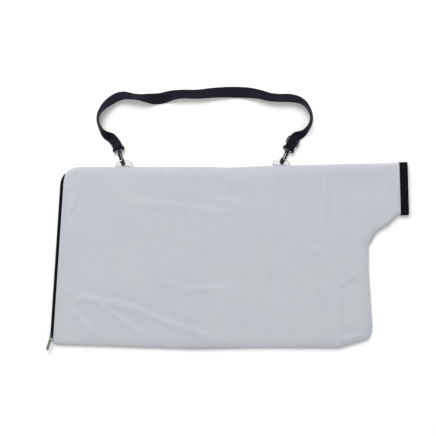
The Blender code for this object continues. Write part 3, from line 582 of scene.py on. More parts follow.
def distances(points, line, is_closed=True):
    """For each point: how far the line is, on which side, and how far along the line that is."""
    ends = np.array(line, float)
    starts = ends if is_closed else ends[:-1]
    stops = np.roll(ends, -1, axis=0) if is_closed else ends[1:]
    best = np.full(len(points), 1e9)
    side = np.zeros(len(points))
    share = np.zeros(len(points))
    passed = 0.0
    total = np.linalg.norm(stops - starts, axis=1).sum()
    for start, stop in zip(starts, stops):
        run = stop - start
        length = np.linalg.norm(run)
        at = np.clip((points - start) @ run / length**2, 0, 1)
        gap = points - start - at[:, None] * run
        far = np.linalg.norm(gap, axis=1)
        nearer = far < best
        best = np.where(nearer, far, best)
        side = np.where(nearer, np.sign(run[0] * gap[:, 1] - run[1] * gap[:, 0]), side)
        share = np.where(nearer, (passed + at * length) / total, share)
        passed += length
    return best, side, share


def ripple(points, size, seed):
    """Smooth random heights between -1 and 1 from a few crossing waves, the same on every run."""
    chance = np.random.default_rng(seed)
    total = np.zeros(len(points))
    for _ in range(9):
        angle = chance.uniform(0, math.pi)
        length = size * chance.uniform(0.7, 1.6)
        way = np.array((math.cos(angle), math.sin(angle))) * 2 * math.pi / length
        total += np.sin(points @ way + chance.uniform(0, 2 * math.pi)) / 3
    return np.tanh(total)


def smooth_step(values, low, high):
    """0 below the low value, 1 above the high one, and a soft step between them."""
    share = np.clip((values - low) / (high - low), 0, 1)
    return share * share * (3 - 2 * share)


probe = np.array([(0.0, 0.0), (50.0, 0.0), (100.0, 0.0)])
print("waves at three places:", np.round(ripple(probe, 70, 4), 2))

# %% Height of the cloth
HEM_STEP = 0.5  # the cloth is double in the hem along the zip
CUFF_STEP = 0.45  # and in the cuff under the band


def fullness(points, depth):
    """How high the panel stands above the seam: round at the rim and full in the middle."""
    u = (points - ZIP_START) @ INWARD
    along = (points - MOUTH) @ FORWARD
    rim = 12.0 + 14.0 * smooth_step(u, 20, 90) * (1 - smooth_step(along, -110, -70))
    share = 1 - np.clip(depth / rim, 0, 1)
    return np.sqrt(np.clip(1 - share**2, 0, 1))


def crease_height(points):
    """What all the creases add to the height of each place."""
    total = np.zeros(len(points))
    for width, height, line in CREASES:
        far, side, share = distances(points, line, is_closed=False)
        fade = smooth_step(share, 0.0, 0.18) * (1 - smooth_step(share, 0.8, 1.0))
        across = far * side / width
        ridge = np.exp(-(across**2)) - 0.55 * np.exp(-(((across - 1.9) / 1.3) ** 2))
        total += height * fade * ridge
    return total


def panel_height(points, is_front):
    """The height of a panel's outer side above the ground, in millimetres."""
    depth = distances(points, SEAM_LINE)[0]
    full = fullness(points, depth)
    along = (points - MOUTH) @ FORWARD
    lift = SLEEVE_LIFT * np.clip((along + 72.0) / 49.0, 0, 1)
    half = BAG_HEIGHT / 2 - SEAM_SLIT
    puckers = 0.35 * ripple(points, 11, 5) * np.exp(-((depth - 5.0) ** 2) / 18.0)
    if not is_front:
        lying = 0.5 * (1 + ripple(points, 120, 8)) * full**4
        return SEAM_HEIGHT - SEAM_SLIT - half * full + lift + lying + np.abs(puckers)
    swell = 0.85 * ripple(points, 230, 3) + 0.35 * ripple(points, 70, 4)
    u = (points - ZIP_START) @ INWARD
    v = (points - ZIP_START) @ ALONG
    free = full**2 * smooth_step(u, 8, 40)
    beside_zip = smooth_step(v, -215, -205) * (1 - smooth_step(v, 185, 200))
    hem = HEM_STEP * (1 - smooth_step(u, 18.5, 20.0)) * beside_zip
    cuff = CUFF_STEP * smooth_step(along, -46.5, -45.0) * full
    tight = 1 - smooth_step(along, -45, -24)
    lively = (swell + crease_height(points)) * free * tight
    return SEAM_HEIGHT + SEAM_SLIT + half * full + lift + lively + hem + cuff + puckers


probe = panel_height(np.array([(0.0, 0.0), (-100.0, 50.0), (300.0, -100.0)]), True)
print("front panel heights at three places:", np.round(probe, 2), "mm")

# %% [markdown]
# ## Cutting the panels
# A panel needs points close together along its rim, where it curves, and a fine even net elsewhere,
# for the creases. The net is made of rings set in from the outline and a hexagonal grid inside
# them, and a constrained triangulation joins them all without crossing the outline. Along the zip
# the cloth is drawn back, so that the tape shows as a black edge, which narrows to a tip as it
# rounds the upper corner. Solidify then gives the cloth its thickness.

# %% Cut the outline along the zip and at the mouth
STRIP_TIP = 219.0  # how far up the corner the zip's black edge shows
STRIP_ROUND = 4.0  # how soon it is full at its lower end


def zip_strip():
    """The whole outline, starting at the tip of the zip's black edge.

    With it come the number of points along that edge, their inward normals and how far the cloth
    is drawn back at each.
    """
    line = spaced(SEAM_LINE, 1.0)
    way = np.roll(line, -1, axis=0) - np.roll(line, 1, axis=0)
    normal = np.stack([-way[:, 1], way[:, 0]], axis=1) / np.linalg.norm(way, axis=1)[:, None]
    low, high = ZIP_WINDOW
    v = (line - ZIP_START) @ ALONG
    near = (line[:, 0] < BAG_LEFT + 35.0) & (line[:, 1] < STRIP_TIP) & (v > low - STRIP_ROUND)
    turn = -int(np.argmax(near & ~np.roll(near, 1)))
    line, normal, v, near = (np.roll(a, turn, axis=0) for a in (line, normal, v, near))
    count = int(near.sum())
    upper = np.count_nonzero(v[:count] > high - 4.0)
    left = 1 - np.clip(np.arange(count) / upper, 0, 1)
    taper = np.sqrt(1 - left**2)
    start = np.sqrt(np.clip((v[:count] - low + STRIP_ROUND) / STRIP_ROUND, 0, 1))
    return line, count, normal[:count], ZIP_EDGE * taper * start


def cut_line():
    """The seam line with the sleeve cut at its mouth and the cloth drawn back along the zip."""
    line, count, normal, width = zip_strip()
    inner = (line[:count] + normal * width[:, None])[width > 0.5][::3]
    rest = line[count:]
    past = (rest - MOUTH) @ FORWARD > SLEEVE_END
    first = int(np.argmax(past))
    ends = [mouth_point(SLEEVE_END, side * SLEEVE_HALF_WIDTH) for side in (-1, 1)]
    return np.vstack([rest[:first], ends, rest[first + int(past.sum()) :], inner])


EDGE = spaced(cut_line(), 3.2)
print("the cut outline has", len(EDGE), "points")

# %% Fill the outline with triangles
NET = 4.2  # spacing of the grid
RINGS_IN = (0.5, 1.3, 2.5, 4.0, 6.0, 8.5, 11.5, 15.0)


def is_inside(points, line):
    """Which points lie inside a closed outline, by counting the edges to their right."""
    crossings = np.zeros(len(points), int)
    for (x1, y1), (x2, y2) in zip(line, np.roll(line, -1, axis=0)):
        spans = (points[:, 1] < y1) != (points[:, 1] < y2)
        if y1 != y2:
            crossings += spans & (points[:, 0] < x1 + (points[:, 1] - y1) * (x2 - x1) / (y2 - y1))
    return crossings % 2 == 1


def panel_net():
    """Places and triangles of a flat panel, in millimetres."""
    way = np.roll(EDGE, -1, axis=0) - np.roll(EDGE, 1, axis=0)
    way /= np.linalg.norm(way, axis=1)[:, None]
    inner = np.stack([-way[:, 1], way[:, 0]], axis=1)
    rings = []
    for depth in RINGS_IN:
        ring = EDGE + inner * depth
        far = distances(ring, EDGE)[0]
        rings.append(ring[(far > depth - 0.12) & is_inside(ring, EDGE)])
    low, high = EDGE.min(axis=0), EDGE.max(axis=0)
    rows = np.arange(low[1], high[1], NET * math.sqrt(3) / 2)
    columns = np.arange(low[0], high[0], NET)
    grid = np.array([(x + (k % 2) * NET / 2, y) for k, y in enumerate(rows) for x in columns])
    grid = grid[is_inside(grid, EDGE)]
    grid = grid[distances(grid, EDGE)[0] > RINGS_IN[-1] + NET * 0.7]
    points = np.vstack([EDGE, *rings, grid])
    outline = list(range(len(EDGE)))
    made = delaunay_2d_cdt([Vector(p) for p in points], [], [outline], 1, 1e-4)
    return np.array([tuple(p) for p in made[0]]), [tuple(f) for f in made[2]]


NET_POINTS, NET_FACES = panel_net()
print("each panel has", len(NET_POINTS), "points and", len(NET_FACES), "faces")


def make_panel(name, node, is_front):
    """One panel of cloth in the place of its solid."""
    heights = panel_height(NET_POINTS, is_front)
    faces = NET_FACES if is_front else [f[::-1] for f in NET_FACES]
    made = new_piece(name, np.column_stack([NET_POINTS, heights]), faces, CLOTH_FINISH)
    thicken(made, CLOTH, -1.0)
    stand_for(made, node)


make_panel("lower_cloth", "back_panel", False)
make_panel("upper_cloth", "front_panel", True)
print("cloth from", np.round(NET_POINTS.min(axis=0)), "to", np.round(NET_POINTS.max(axis=0)))

# %% [markdown]
# ## Stitches
# A lockstitch shows on the outside as a row of short thread runs, each sunk at its ends where the
# needle went down. One stitch is a small capsule: six-sided, thick in the middle and closed to a
# point at both ends. A row is many of them joined into one mesh, laid along a line on the cloth.

# %% Stitch rows
STITCH = 3.4
STITCH_GAP = 1.0
STITCH_STEP = 0.5  # how finely a row's line is followed
THREAD = 0.32  # half of its thickness
THREAD_LIFT = 0.1


def stitch_row(name, line, finish):
    """A row of stitches along points in millimetres, each lying on the surface."""
    points, faces = [], []
    path = spaced(line, STITCH_STEP, is_closed=False)
    step = int(round((STITCH + STITCH_GAP) / STITCH_STEP))
    run = int(round(STITCH / STITCH_STEP))
    for i in range(0, len(path) - run, step):
        a, b = Vector(path[i]), Vector(path[i + run])
        way = (b - a).normalized()
        across = way.cross(Vector((0, 0, 1))).normalized()
        top = across.cross(way)
        base = len(points)
        points.append(a - top * THREAD * 0.6)
        for share, size in ((0.15, 0.75), (0.5, 1.0), (0.85, 0.75)):
            centre = a.lerp(b, share) + top * (THREAD_LIFT - THREAD * (1 - size))
            for k in range(6):
                turn = k * math.pi / 3
                aside = across * math.cos(turn) + top * math.sin(turn)
                points.append(centre + aside * THREAD * size)
        points.append(b - top * THREAD * 0.6)
        for k in range(6):
            n = (k + 1) % 6
            faces.append((base, base + 1 + n, base + 1 + k))
            for ring in (0, 6):
                here = base + 1 + ring
                faces.append((here + k, here + n, here + 6 + n, here + 6 + k))
            faces.append((base + 19, base + 13 + k, base + 13 + n))
    return outward(new_piece(name, points, faces, finish))


def on_front(places):
    """Points of a line on top of the front panel."""
    flat = spaced(places, 4.0, is_closed=False)
    return np.column_stack([flat, panel_height(flat, True)])


HEM_ROWS = (11.5, 17.6)  # inwards from the zip's edge
CUFF_ROWS = (-43.5, -25.0)  # from the band's mouth
seams = {}
for k, u in enumerate(HEM_ROWS):
    seams[f"zip_hem_stitches_{k}"] = (zip_point(u, ZIP_WINDOW[0] + 6), zip_point(u, ZIP_WINDOW[1] - 4))
for k, along in enumerate(CUFF_ROWS):
    reach = SLEEVE_HALF_WIDTH - 3
    seams[f"cuff_stitches_{k}"] = (mouth_point(along, -reach), mouth_point(along, reach))
for name, ends in seams.items():
    row = stitch_row(name, on_front(ends), GREY_THREAD)
    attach(row, "bag")
    print(name, "has", len(row.data.vertices) // 20, "stitches")

# %% [markdown]
# ## The elastic band
# The sleeve's end is gripped by a black elastic band, sewn on with a zigzag while it was stretched.
# Let go, it shrinks, so its ribs run across it and its edges are slightly wavy. It is a closed
# ring: rows of points go round the sleeve, out over the ribs and back inside.

# %% Elastic band
BAND_WALL = 1.2
BAND_GAP = 0.3
BAND_RIM = 12.0
BAND_RIBS = 9
BAND_COUNT = 150  # points round the band
GATHER = 0.22  # how far its shrinking makes it wavy


def band_section(spare, along):
    """Points round the sleeve's rounded section, a distance outside the cloth."""
    middle = SEAM_HEIGHT + SLEEVE_LIFT
    turn = np.radians(np.linspace(-90, 90, 19))
    across = SLEEVE_HALF_WIDTH - BAND_RIM + (BAND_RIM + spare) * np.cos(turn)
    corner = np.stack([across, (SEAM_HEIGHT + spare) * np.sin(turn)], axis=1)
    ring = spaced(np.vstack([corner, -corner]), 1.0)
    length = np.linalg.norm(np.diff(ring, axis=0), axis=1).sum() + 1
    ring = spaced(ring, length / BAND_COUNT)[:BAND_COUNT]
    found = []
    for k, (across, rise) in enumerate(ring):
        gather = GATHER * math.sin(k * 2 * math.pi * 30 / BAND_COUNT)
        spot = mouth_point(along + 0.25 * gather, across)
        found.append((*spot, middle + rise + (gather if spare > BAND_GAP else 0) * np.sign(rise)))
    return found


def make_band():
    """The ring of elastic: ribbed rows outside and three plain rows inside."""
    rows, lengths = [], []
    steps = BAND_RIBS * 4
    for i in range(steps + 1):
        along = -BAND_LENGTH + BAND_LENGTH * i / steps
        rib = 0.28 * math.cos(2 * math.pi * i * BAND_RIBS / steps)
        rows.append(band_section(BAND_GAP + BAND_WALL - 0.3 + rib, along))
        lengths.append(along)
    for along in (0.0, -BAND_LENGTH / 2, -BAND_LENGTH):
        rows.append(band_section(BAND_GAP, along))
        lengths.append(along)
    count = len(rows[0])
    points = [p for row in rows for p in row]
    faces = []
    for i in range(len(rows)):
        for k in range(count):
            n, j = (k + 1) % count, (i + 1) % len(rows)
            faces.append((i * count + k, i * count + n, j * count + n, j * count + k))
    made = outward(new_piece("elastic_band", points, faces, ELASTIC_FINISH))
    add_map(made, [(k * 2.0 * MM, along * MM) for along in lengths for k in range(count)])
    return stand_for(made, "inlet_band")


elastic_band = make_band()
print("elastic band:", len(elastic_band.data.polygons), "faces")

# %% [markdown]
# ## Ribbons
# Tape and webbing are ribbons: a middle line, a direction for the width at each station, and one
# cross-section with round selvedges. Giving each station its own width direction lets the ribbon
# lean and twist as webbing does when it turns a corner on the ground.

# %% Ribbon helper


def ribbon(name, stations, width, thick, finish, swell):
    """A closed ribbon from stations of middle, width direction and outward direction.

    Its selvedges are thicker by the swell.
    """
    half = width / 2
    across = np.linspace(-half + thick / 2, half - thick / 2, 9)
    edge = [math.radians(a) for a in (60, 20, -20, -60)]
    section = [(x, thick / 2 + swell * (abs(x) > half - thick * 1.6)) for x in across]
    section += [(half - thick / 2 + thick / 2 * math.cos(a), thick / 2 * math.sin(a)) for a in edge]
    section += [(-x, -z) for x, z in section]
    points, places, run = [], [], 0.0
    for i, (middle, wide, normal) in enumerate(stations):
        if i:
            run += (middle - stations[i - 1][0]).length
        for x, z in section:
            points.append(middle + wide * x + normal * z)
            places.append(((x + half) * MM, run * MM))
    count = len(section)
    faces = []
    for i in range(len(stations) - 1):
        for k in range(count):
            here, n = i * count, (k + 1) % count
            faces.append((here + k, here + n, here + count + n, here + count + k))
    faces += [tuple(range(count)), tuple(range(len(points) - count, len(points)))]
    made = new_piece(name, points, faces, finish)
    add_map(made, places)
    return outward(made)


print("a ribbon's section has 26 points")

# %% [markdown]
# ## The zip
# A nylon coil zip has two cloth tapes with a row of teeth along each inner edge. The front half
# lies flat under the hem. The back half comes round the bag's side and carries the black edge that
# shows from above. The teeth are the turns of a coil: each shows as a small rounded bar, and the
# two rows stand half a tooth apart.

# %% Zip tapes
TAPE_LEVEL = 11.0
ZIP_MIDDLE = 4.5
SLIT = 0.7  # half of the way between the two tapes
TAPE_THICK = 0.6
# sections of the tapes, as distance inwards from the edge and height
BACK_TAPE = (
    (ZIP_MIDDLE - SLIT, TAPE_LEVEL),
    (1.9, TAPE_LEVEL - 0.02),
    (0.95, TAPE_LEVEL - 0.35),
    (0.5, TAPE_LEVEL - 1.2),
    (0.35, 7.0),
    (0.55, 5.9),
    (1.2, 5.0),
    (2.4, 4.2),
    (4.0, 3.5),
    (9.0, 2.5),
    (20.0, 1.6),
)
FRONT_TAPE = ((ZIP_MIDDLE + SLIT, TAPE_LEVEL), (9.0, TAPE_LEVEL), (14.0, TAPE_LEVEL), (20.0, TAPE_LEVEL))


def make_tape(name, profile, node):
    """A straight tape with one section all along, a little wavy where nothing holds it."""
    stations = np.arange(ZIP_WINDOW[0] + 0.5, ZIP_WINDOW[1] - 0.4, 2.5)
    reach = np.concatenate(([0.0], np.cumsum(np.linalg.norm(np.diff(profile, axis=0), axis=1))))
    points, places, faces = [], [], []
    for v in stations:
        for (u, z), far in zip(profile, reach):
            loose = 0.12 * math.sin(v / 17.0) * min(1.0, abs(u - ZIP_MIDDLE) / 6)
            points.append((*zip_point(u, v), z + loose))
            places.append((far * MM, v * MM))
    count = len(profile)
    for i in range(len(stations) - 1):
        for k in range(count - 1):
            a = i * count + k
            faces.append((a, a + 1, a + count + 1, a + count))
    made = new_piece(name, points, faces, TAPE_FINISH)
    add_map(made, places)
    thicken(made, TAPE_THICK, 0.0)
    return stand_for(made, node)


def make_corner_tape():
    """The tape's end, folded over the bag's edge and following it round the corner to a tip."""
    line, count, normal, width = zip_strip()
    v = (line[:count] - ZIP_START) @ ALONG
    points, places, faces = [], [], []
    rows = [i for i in range(count) if v[i] > ZIP_WINDOW[1] - 2.5]
    for i in rows:
        depths = np.linspace(width[i] + 1.5, 0.3, 8)
        spots = line[i] + normal[i] * depths[:, None]
        sunk = 0.4 * np.clip(depths / 3.0, 0, 1)
        over = np.column_stack([spots, panel_height(spots, True) - sunk])
        under = np.column_stack([spots, panel_height(spots, False) + sunk])
        points += [tuple(p) for p in (*over, *under[::-1])]
        places += [(k * 1.2 * MM, i * MM) for k in range(16)]
    for i in range(len(rows) - 1):
        for k in range(15):
            a = i * 16 + k
            faces.append((a, a + 1, a + 17, a + 16))
    made = new_piece("corner_tape", points, faces, TAPE_FINISH)
    add_map(made, places)
    thicken(made, TAPE_THICK, 0.0)
    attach(made, "bag")
    return made


make_tape("front_tape", FRONT_TAPE, "zip_tape_front")
make_tape("back_tape", BACK_TAPE, "zip_tape_back")
corner_tape = make_corner_tape()
print("the corner tape has", len(corner_tape.data.polygons), "faces")

# %% [markdown]
# ## Coil teeth
# The turns of a common coil are about 1.5 mm apart. They are drawn 2.1 mm apart, so that they can
# just be told apart from near by. All the turns of a row are one mesh, since they are sewn to one
# tape and move with it.

# %% Zip teeth
TOOTH_PITCH = 2.1
TOOTH = (2.1, 1.15, 1.8)  # length, width and height
TOOTH_OVERLAP = 0.15  # how far each row reaches over its tape's edge
TEETH_BOTTOM = TAPE_LEVEL + TAPE_THICK / 2 + 0.05


def tooth_points(u, v, side):
    """One turn of the coil: a bar with a round back and a fuller head at the zip's middle."""
    length, width, height = TOOTH
    found = []
    for share, size in ((0.0, 0.82), (0.12, 1.0), (0.3, 0.9), (0.75, 0.8), (0.95, 0.6), (1.0, 0.3)):
        for k in range(8):
            turn = 2 * math.pi * k / 8 + math.pi / 8
            y = width / 2 * size * math.cos(turn) * 1.05
            z = height / 2 * (1 + size * math.sin(turn))
            spot = zip_point(u + side * share * length, v + y)
            found.append((*spot, TEETH_BOTTOM + z))
    return found


def make_teeth(name, node, side, shift):
    """A row of teeth along the whole zip, as one mesh."""
    low = ZIP_WINDOW[0] + 5.2 + shift
    high = ZIP_WINDOW[1] - 5.2
    points, faces = [], []
    for v in np.arange(low, high, TOOTH_PITCH):
        base = len(points)
        points += tooth_points(ZIP_MIDDLE + side * (SLIT - TOOTH_OVERLAP), v, side)
        for ring in range(5):
            for k in range(8):
                n = (k + 1) % 8
                a, b = base + ring * 8, base + ring * 8 + 8
                faces.append((a + k, a + n, b + n, b + k))
        faces.append(tuple(base + k for k in range(8)))
        faces.append(tuple(base + 40 + k for k in range(8)))
    return stand_for(outward(new_piece(name, points, faces, TEETH_NYLON)), node)


for name, node, side, shift in (
    ("coil_front", "zip_teeth_front", 1, 0.0),
    ("coil_back", "zip_teeth_back", -1, TOOTH_PITCH / 2),
):
    row = make_teeth(name, node, side, shift)
    print(name, "has", len(row.data.vertices) // 48, "teeth")

# %% [markdown]
# ## Rings
# Each ring is a length of 2.4 mm wire bent to a D, with its two ends butted in the middle of the
# straight bar. A closed curve with a round bevel gives the wire an even thickness all the way
# round, which a mesh bent by hand would not. The wire is thin enough to leave the hook free to
# turn on it as far as it goes.

# %% D rings
RING_WIRE = 1.2  # half of its thickness
RING_HALF = 21.4
RING_STRAIGHT = 2.0  # how far its sides run straight before the arc
RING_REACH = 16.4
RING_LEVEL = 2.55
HOOK_LEVEL = 7.9  # the hooks hold the rings' arcs up
RINGS = {"left": (-228.8, BAG_TOP + 1.7), "right": (180.2, BAG_TOP + 4.9)}


def ring_turn():
    """The slant of the line through both rings, about which they swing together."""
    return math.atan2(RINGS["right"][1] - RINGS["left"][1], RINGS["right"][0] - RINGS["left"][0])


def ring_place(side):
    """Where a ring's bar lies, with its arc tipped up to the hook."""
    rise = math.asin((HOOK_LEVEL - RING_LEVEL) / RING_REACH)
    spot = Matrix.Translation((*RINGS[side], RING_LEVEL))
    return spot @ Matrix.Rotation(ring_turn(), 4, "Z") @ Matrix.Rotation(rise, 4, "X")


def make_ring(side):
    """The D's outline from one end of the wire to the other, closed and made round."""
    line = [(RING_HALF - 1.2, 0.0), (RING_HALF - 0.35, 0.45)]
    for i in range(33):
        angle = math.pi * i / 32
        rise = RING_STRAIGHT + (RING_REACH - RING_STRAIGHT) * math.sin(angle)
        line.append((RING_HALF * math.cos(angle), rise))
    line += [(-RING_HALF + 0.35, 0.45), (-RING_HALF + 1.2, 0.0), (-9.0, 0.0), (9.0, 0.0)]
    place = ring_place(side)
    path = bpy.data.curves.new(f"wire_ring_{side}", "CURVE")
    path.dimensions = "3D"
    path.bevel_depth = RING_WIRE * MM
    path.bevel_resolution = 4
    path.resolution_u = 1
    spline = path.splines.new("POLY")
    spline.points.add(len(line) - 1)
    for point, (x, y) in zip(spline.points, line):
        point.co = (*(place @ Vector((x, y, 0)) * MM), 1.0)
    spline.use_cyclic_u = True
    spline.use_smooth = True
    path.materials.append(PLATED_WIRE)
    made = bpy.data.objects.new(f"wire_ring_{side}", path)
    bpy.context.scene.collection.objects.link(made)
    return stand_for(made, f"ring_{side}")


for side in ("left", "right"):
    make_ring(side)
print("ring wire:", 2 * RING_WIRE, "mm")

# %% [markdown]
# ## Ring tabs
# A folded strip of the bag's own cloth wraps round each ring's bar and is caught in the upper seam.
# Only its fold shows from above, so it is nearly lost against the bag.

# %% Ring tabs
TAB_WIDTH = 32.0
TAB_CLOTH = 0.8
TAB_SLACK = 0.37  # between the wire and the cloth


def make_tab(side):
    """A strip of cloth round a ring's bar, from below the seam to above it."""
    middle = RING_WIRE + TAB_SLACK + TAB_CLOTH / 2
    line = [(-4.6, -middle), (-2.3, -middle), (0.0, -middle)]
    for i in range(1, 25):
        angle = math.radians(-90 + (205 + 90) * i / 24)
        line.append((middle * math.cos(angle), middle * math.sin(angle)))
    place = Matrix.Translation((*RINGS[side], RING_LEVEL)) @ Matrix.Rotation(ring_turn(), 4, "Z")
    wide = (place.to_3x3() @ Vector((1, 0, 0))).normalized()
    spots = [place @ Vector((0, y, z)) for y, z in line]
    stations = []
    for i, spot in enumerate(spots):
        way = (spots[min(i + 1, len(spots) - 1)] - spots[max(i - 1, 0)]).normalized()
        stations.append((spot, wide, wide.cross(way)))
    made = ribbon(f"ring_loop_{side}", stations, TAB_WIDTH, TAB_CLOTH, CLOTH_FINISH, 0.12)
    return stand_for(made, f"ring_tab_{side}")


for side in ("left", "right"):
    make_tab(side)
print("tab width:", TAB_WIDTH, "mm")

# %% [markdown]
# ## The shoulder strap
# The strap is one length of 25 mm webbing. At the left it goes round the hook's eye and is sewn
# back on itself. At the right it passes through the adjuster, round the other eye and back to the
# adjuster's middle bar. Between them it lies on the ground and leans up on its edge at both turns.
# Flat and free it spreads to 29 mm, and the fittings draw it in. A smooth curve through a station
# every 15 mm or so takes out the corners.

# %% Sizes and line of the strap
WEB_WIDTH = 25.0
WEB_THICK = 1.5
EYE_BAR_AT = 45.9
EYE_BAR_RADIUS = 1.9
LOOP_SLACK = 1.2  # the loop hangs a little past the bar, as nothing pulls on it
ADJUSTER_AT = 20.0
ADJUSTER_LEVEL = 8.6
ADJUSTER_REACH = 8.5
HOOKS = {
    "left": (-230.4, BAG_TOP + 4.0, math.radians(17.0)),
    "right": (179.0, BAG_TOP + 7.6, math.radians(-28.0)),
}
FREE_WIDTH = 29.0
# x, distance from the bag's upper edge as seen from above, and lean in degrees
STRAP_LINE = (
    (-271.0, 80.0, 24), (-279.7, 86.3, 46), (-287.2, 95.2, 64), (-291.9, 104.5, 69),
    (-296.1, 116.0, 71), (-296.4, 127.9, 68), (-293.2, 139.7, 61), (-286.4, 149.8, 52),
    (-276.0, 161.9, 39), (-262.1, 172.6, 29), (-246.0, 181.9, 28), (-229.0, 185.3, 37),
    (-212.1, 183.3, 48), (-196.1, 181.4, 52), (-179.0, 179.3, 43), (-162.9, 177.7, 23),
    (-147.0, 177.3, 6), (-131.2, 179.1, 2), (-115.3, 183.1, 10), (-99.2, 187.0, 25),
    (-75.0, 189.3, 32), (-50.0, 188.8, 30), (-25.1, 189.9, 27), (-0.1, 192.5, 21),
    (30.0, 194.3, 15), (64.0, 194.5, 6), (96.0, 192.9, 14), (124.1, 188.4, 28),
    (150.1, 181.5, 34), (176.0, 179.1, 38), (200.1, 178.9, 35), (221.6, 175.4, 40),
    (237.9, 167.3, 50), (249.4, 155.0, 60), (256.4, 140.1, 66), (258.5, 125.0, 68),
    (255.7, 111.7, 67), (248.3, 98.9, 63), (237.0, 87.0, 46),
)
print("stations on the ground:", len(STRAP_LINE))

# %% Stations at the fittings


def hook_frame(side):
    """A hook's own frame: its bend at the origin and its stem along y."""
    x, y, lean = HOOKS[side]
    return Matrix.Translation((x, y, HOOK_LEVEL)) @ Matrix.Rotation(lean, 4, "Z")


def turn_round_bar(place, is_leaving):
    """Stations half round an eye's bar, from below to above or the other way."""
    radius = EYE_BAR_RADIUS + 0.3 + WEB_THICK / 2
    angles = [math.radians(-90 - 22.5 * i) for i in range(9)]
    if not is_leaving:
        angles = angles[::-1]
    middle = EYE_BAR_AT - LOOP_SLACK
    return [place @ Vector((0, middle + radius * math.cos(a), radius * math.sin(a))) for a in angles]


def web_from(place, heights, shift=None):
    """Stations out from an eye's bar, by distance and height, shifted to one side where told."""
    aside = shift or [0.0] * len(heights)
    return [
        place @ Vector((-side, EYE_BAR_AT + along, level - HOOK_LEVEL))
        for (along, level), side in zip(heights, aside)
    ]


def free_width(i):
    """The webbing's width at a station of the line on the ground."""
    count = len(STRAP_LINE)
    share = smooth_step(i, 4, 14) * (1 - smooth_step(i, count - 10, count - 5))
    return WEB_WIDTH + (FREE_WIDTH - WEB_WIDTH) * float(share)


print("free width in the middle:", free_width(len(STRAP_LINE) // 2), "mm")

# %% [markdown]
# ## The strap's way
# From its sewn end the strap goes under and round the left bar, down to the ground, along the line
# on the ground, up to the adjuster, through it, round the right bar and back. Near a fitting the
# width lies along the bar. On the ground it leans, and the middle is then as high as half the width
# reaches. A Catmull-Rom curve passes through every station, which an approximating curve would not,
# and the width direction is blended by the same rule.

# %% All stations of the strap
# the upper layer at the left: distance from the bar, height and shift to the side
RISE = ((5, 10.6), (12, 8.6), (20, 5.8), (27, 4.0), (33, 3.3))
RISE_ASIDE = (0.2, 1.4, 4.0, 7.0, 10.4)


def strap_stations():
    """Stations from the sewn end to the adjuster: the first turn, the ground and the last turn."""
    left, right = hook_frame("left"), hook_frame("right")
    tail_left = web_from(left, ((26, 0.85), (20, 1.7), (12, 3.2), (5, 4.6)), (6.5, 4.0, 1.4, 0.2))
    rise_left = web_from(left, RISE, RISE_ASIDE)
    low, high = ADJUSTER_LEVEL - 2.3, ADJUSTER_LEVEL + 2.3
    near, middle, far = ADJUSTER_AT - ADJUSTER_REACH, ADJUSTER_AT, ADJUSTER_AT + ADJUSTER_REACH
    weave = (
        (far + 1.9, low), (far - 1.9, low), (middle + 2.0, high), (middle - 2.0, high),
        (near + 1.9, low), (near - 1.9, low), (5.0, 10.0), (2.5, 10.8),
    )
    tail = (
        (2.5, 4.75), (5.0, 4.4), (near - 1.9, low - 2.0), (near + 1.9, low - 2.0),
        (middle - 2.0, low), (middle + 2.0, low), (middle + 3.2, low + 0.2),
    )
    ground = []
    for i, (x, y, lean) in enumerate(STRAP_LINE):
        angle = math.radians(lean)
        height = free_width(i) / 2 * math.sin(angle) + WEB_THICK / 2 * math.cos(angle) + 0.1
        ground.append((Vector((x, BAG_TOP + y, height)), angle))
    ground.append((right @ Vector((2.6, EYE_BAR_AT + far + 7.8, 5.4 - HOOK_LEVEL)), 0.0))
    first_points = tail_left + turn_round_bar(left, True) + rise_left[:2]
    first = [(p, left.to_3x3() @ Vector((1, 0, 0))) for p in first_points]
    last_points = web_from(right, weave) + turn_round_bar(right, False) + web_from(right, tail)
    last = [(p, right.to_3x3() @ Vector((-1, 0, 0))) for p in last_points]
    middle_part = [(p, 0.0) for p in rise_left[2:]] + ground
    line = [first[-1][0]] + [p for p, _ in middle_part] + [last[0][0]]
    found = []
    for i, (point, lean) in enumerate(middle_part):
        way = line[i + 2] - line[i]
        inner = Vector((way.y, -way.x, 0)).normalized()
        station = min(max(i - len(rise_left[2:]), 0), len(STRAP_LINE) - 1)
        wide = inner * math.cos(lean) + Vector((0, 0, math.sin(lean)))
        found.append((point, wide * free_width(station) / WEB_WIDTH))
    return first, found, last


first_part, ground_part, last_part = strap_stations()
print("stations:", len(first_part), "+", len(ground_part), "+", len(last_part))

# %% Smooth the strap and give it its shape


def smooth_between(stations, step):
    """A Catmull-Rom curve through the stations, with the width direction blended along it."""
    found = []
    for i in range(len(stations) - 1):
        four = [stations[min(max(i + k, 0), len(stations) - 1)] for k in (-1, 0, 1, 2)]
        count = max(1, round((four[2][0] - four[1][0]).length / step))
        for k in range(count):
            t = k / count
            spots = []
            for a, b, c, d in zip(*four):
                bend = a * 2 - b * 5 + c * 4 - d
                twist = b * 3 - a - c * 3 + d
                spots.append((b * 2 + (c - a) * t + bend * t**2 + twist * t**3) / 2)
            found.append(tuple(spots))
    return found + [stations[-1]]


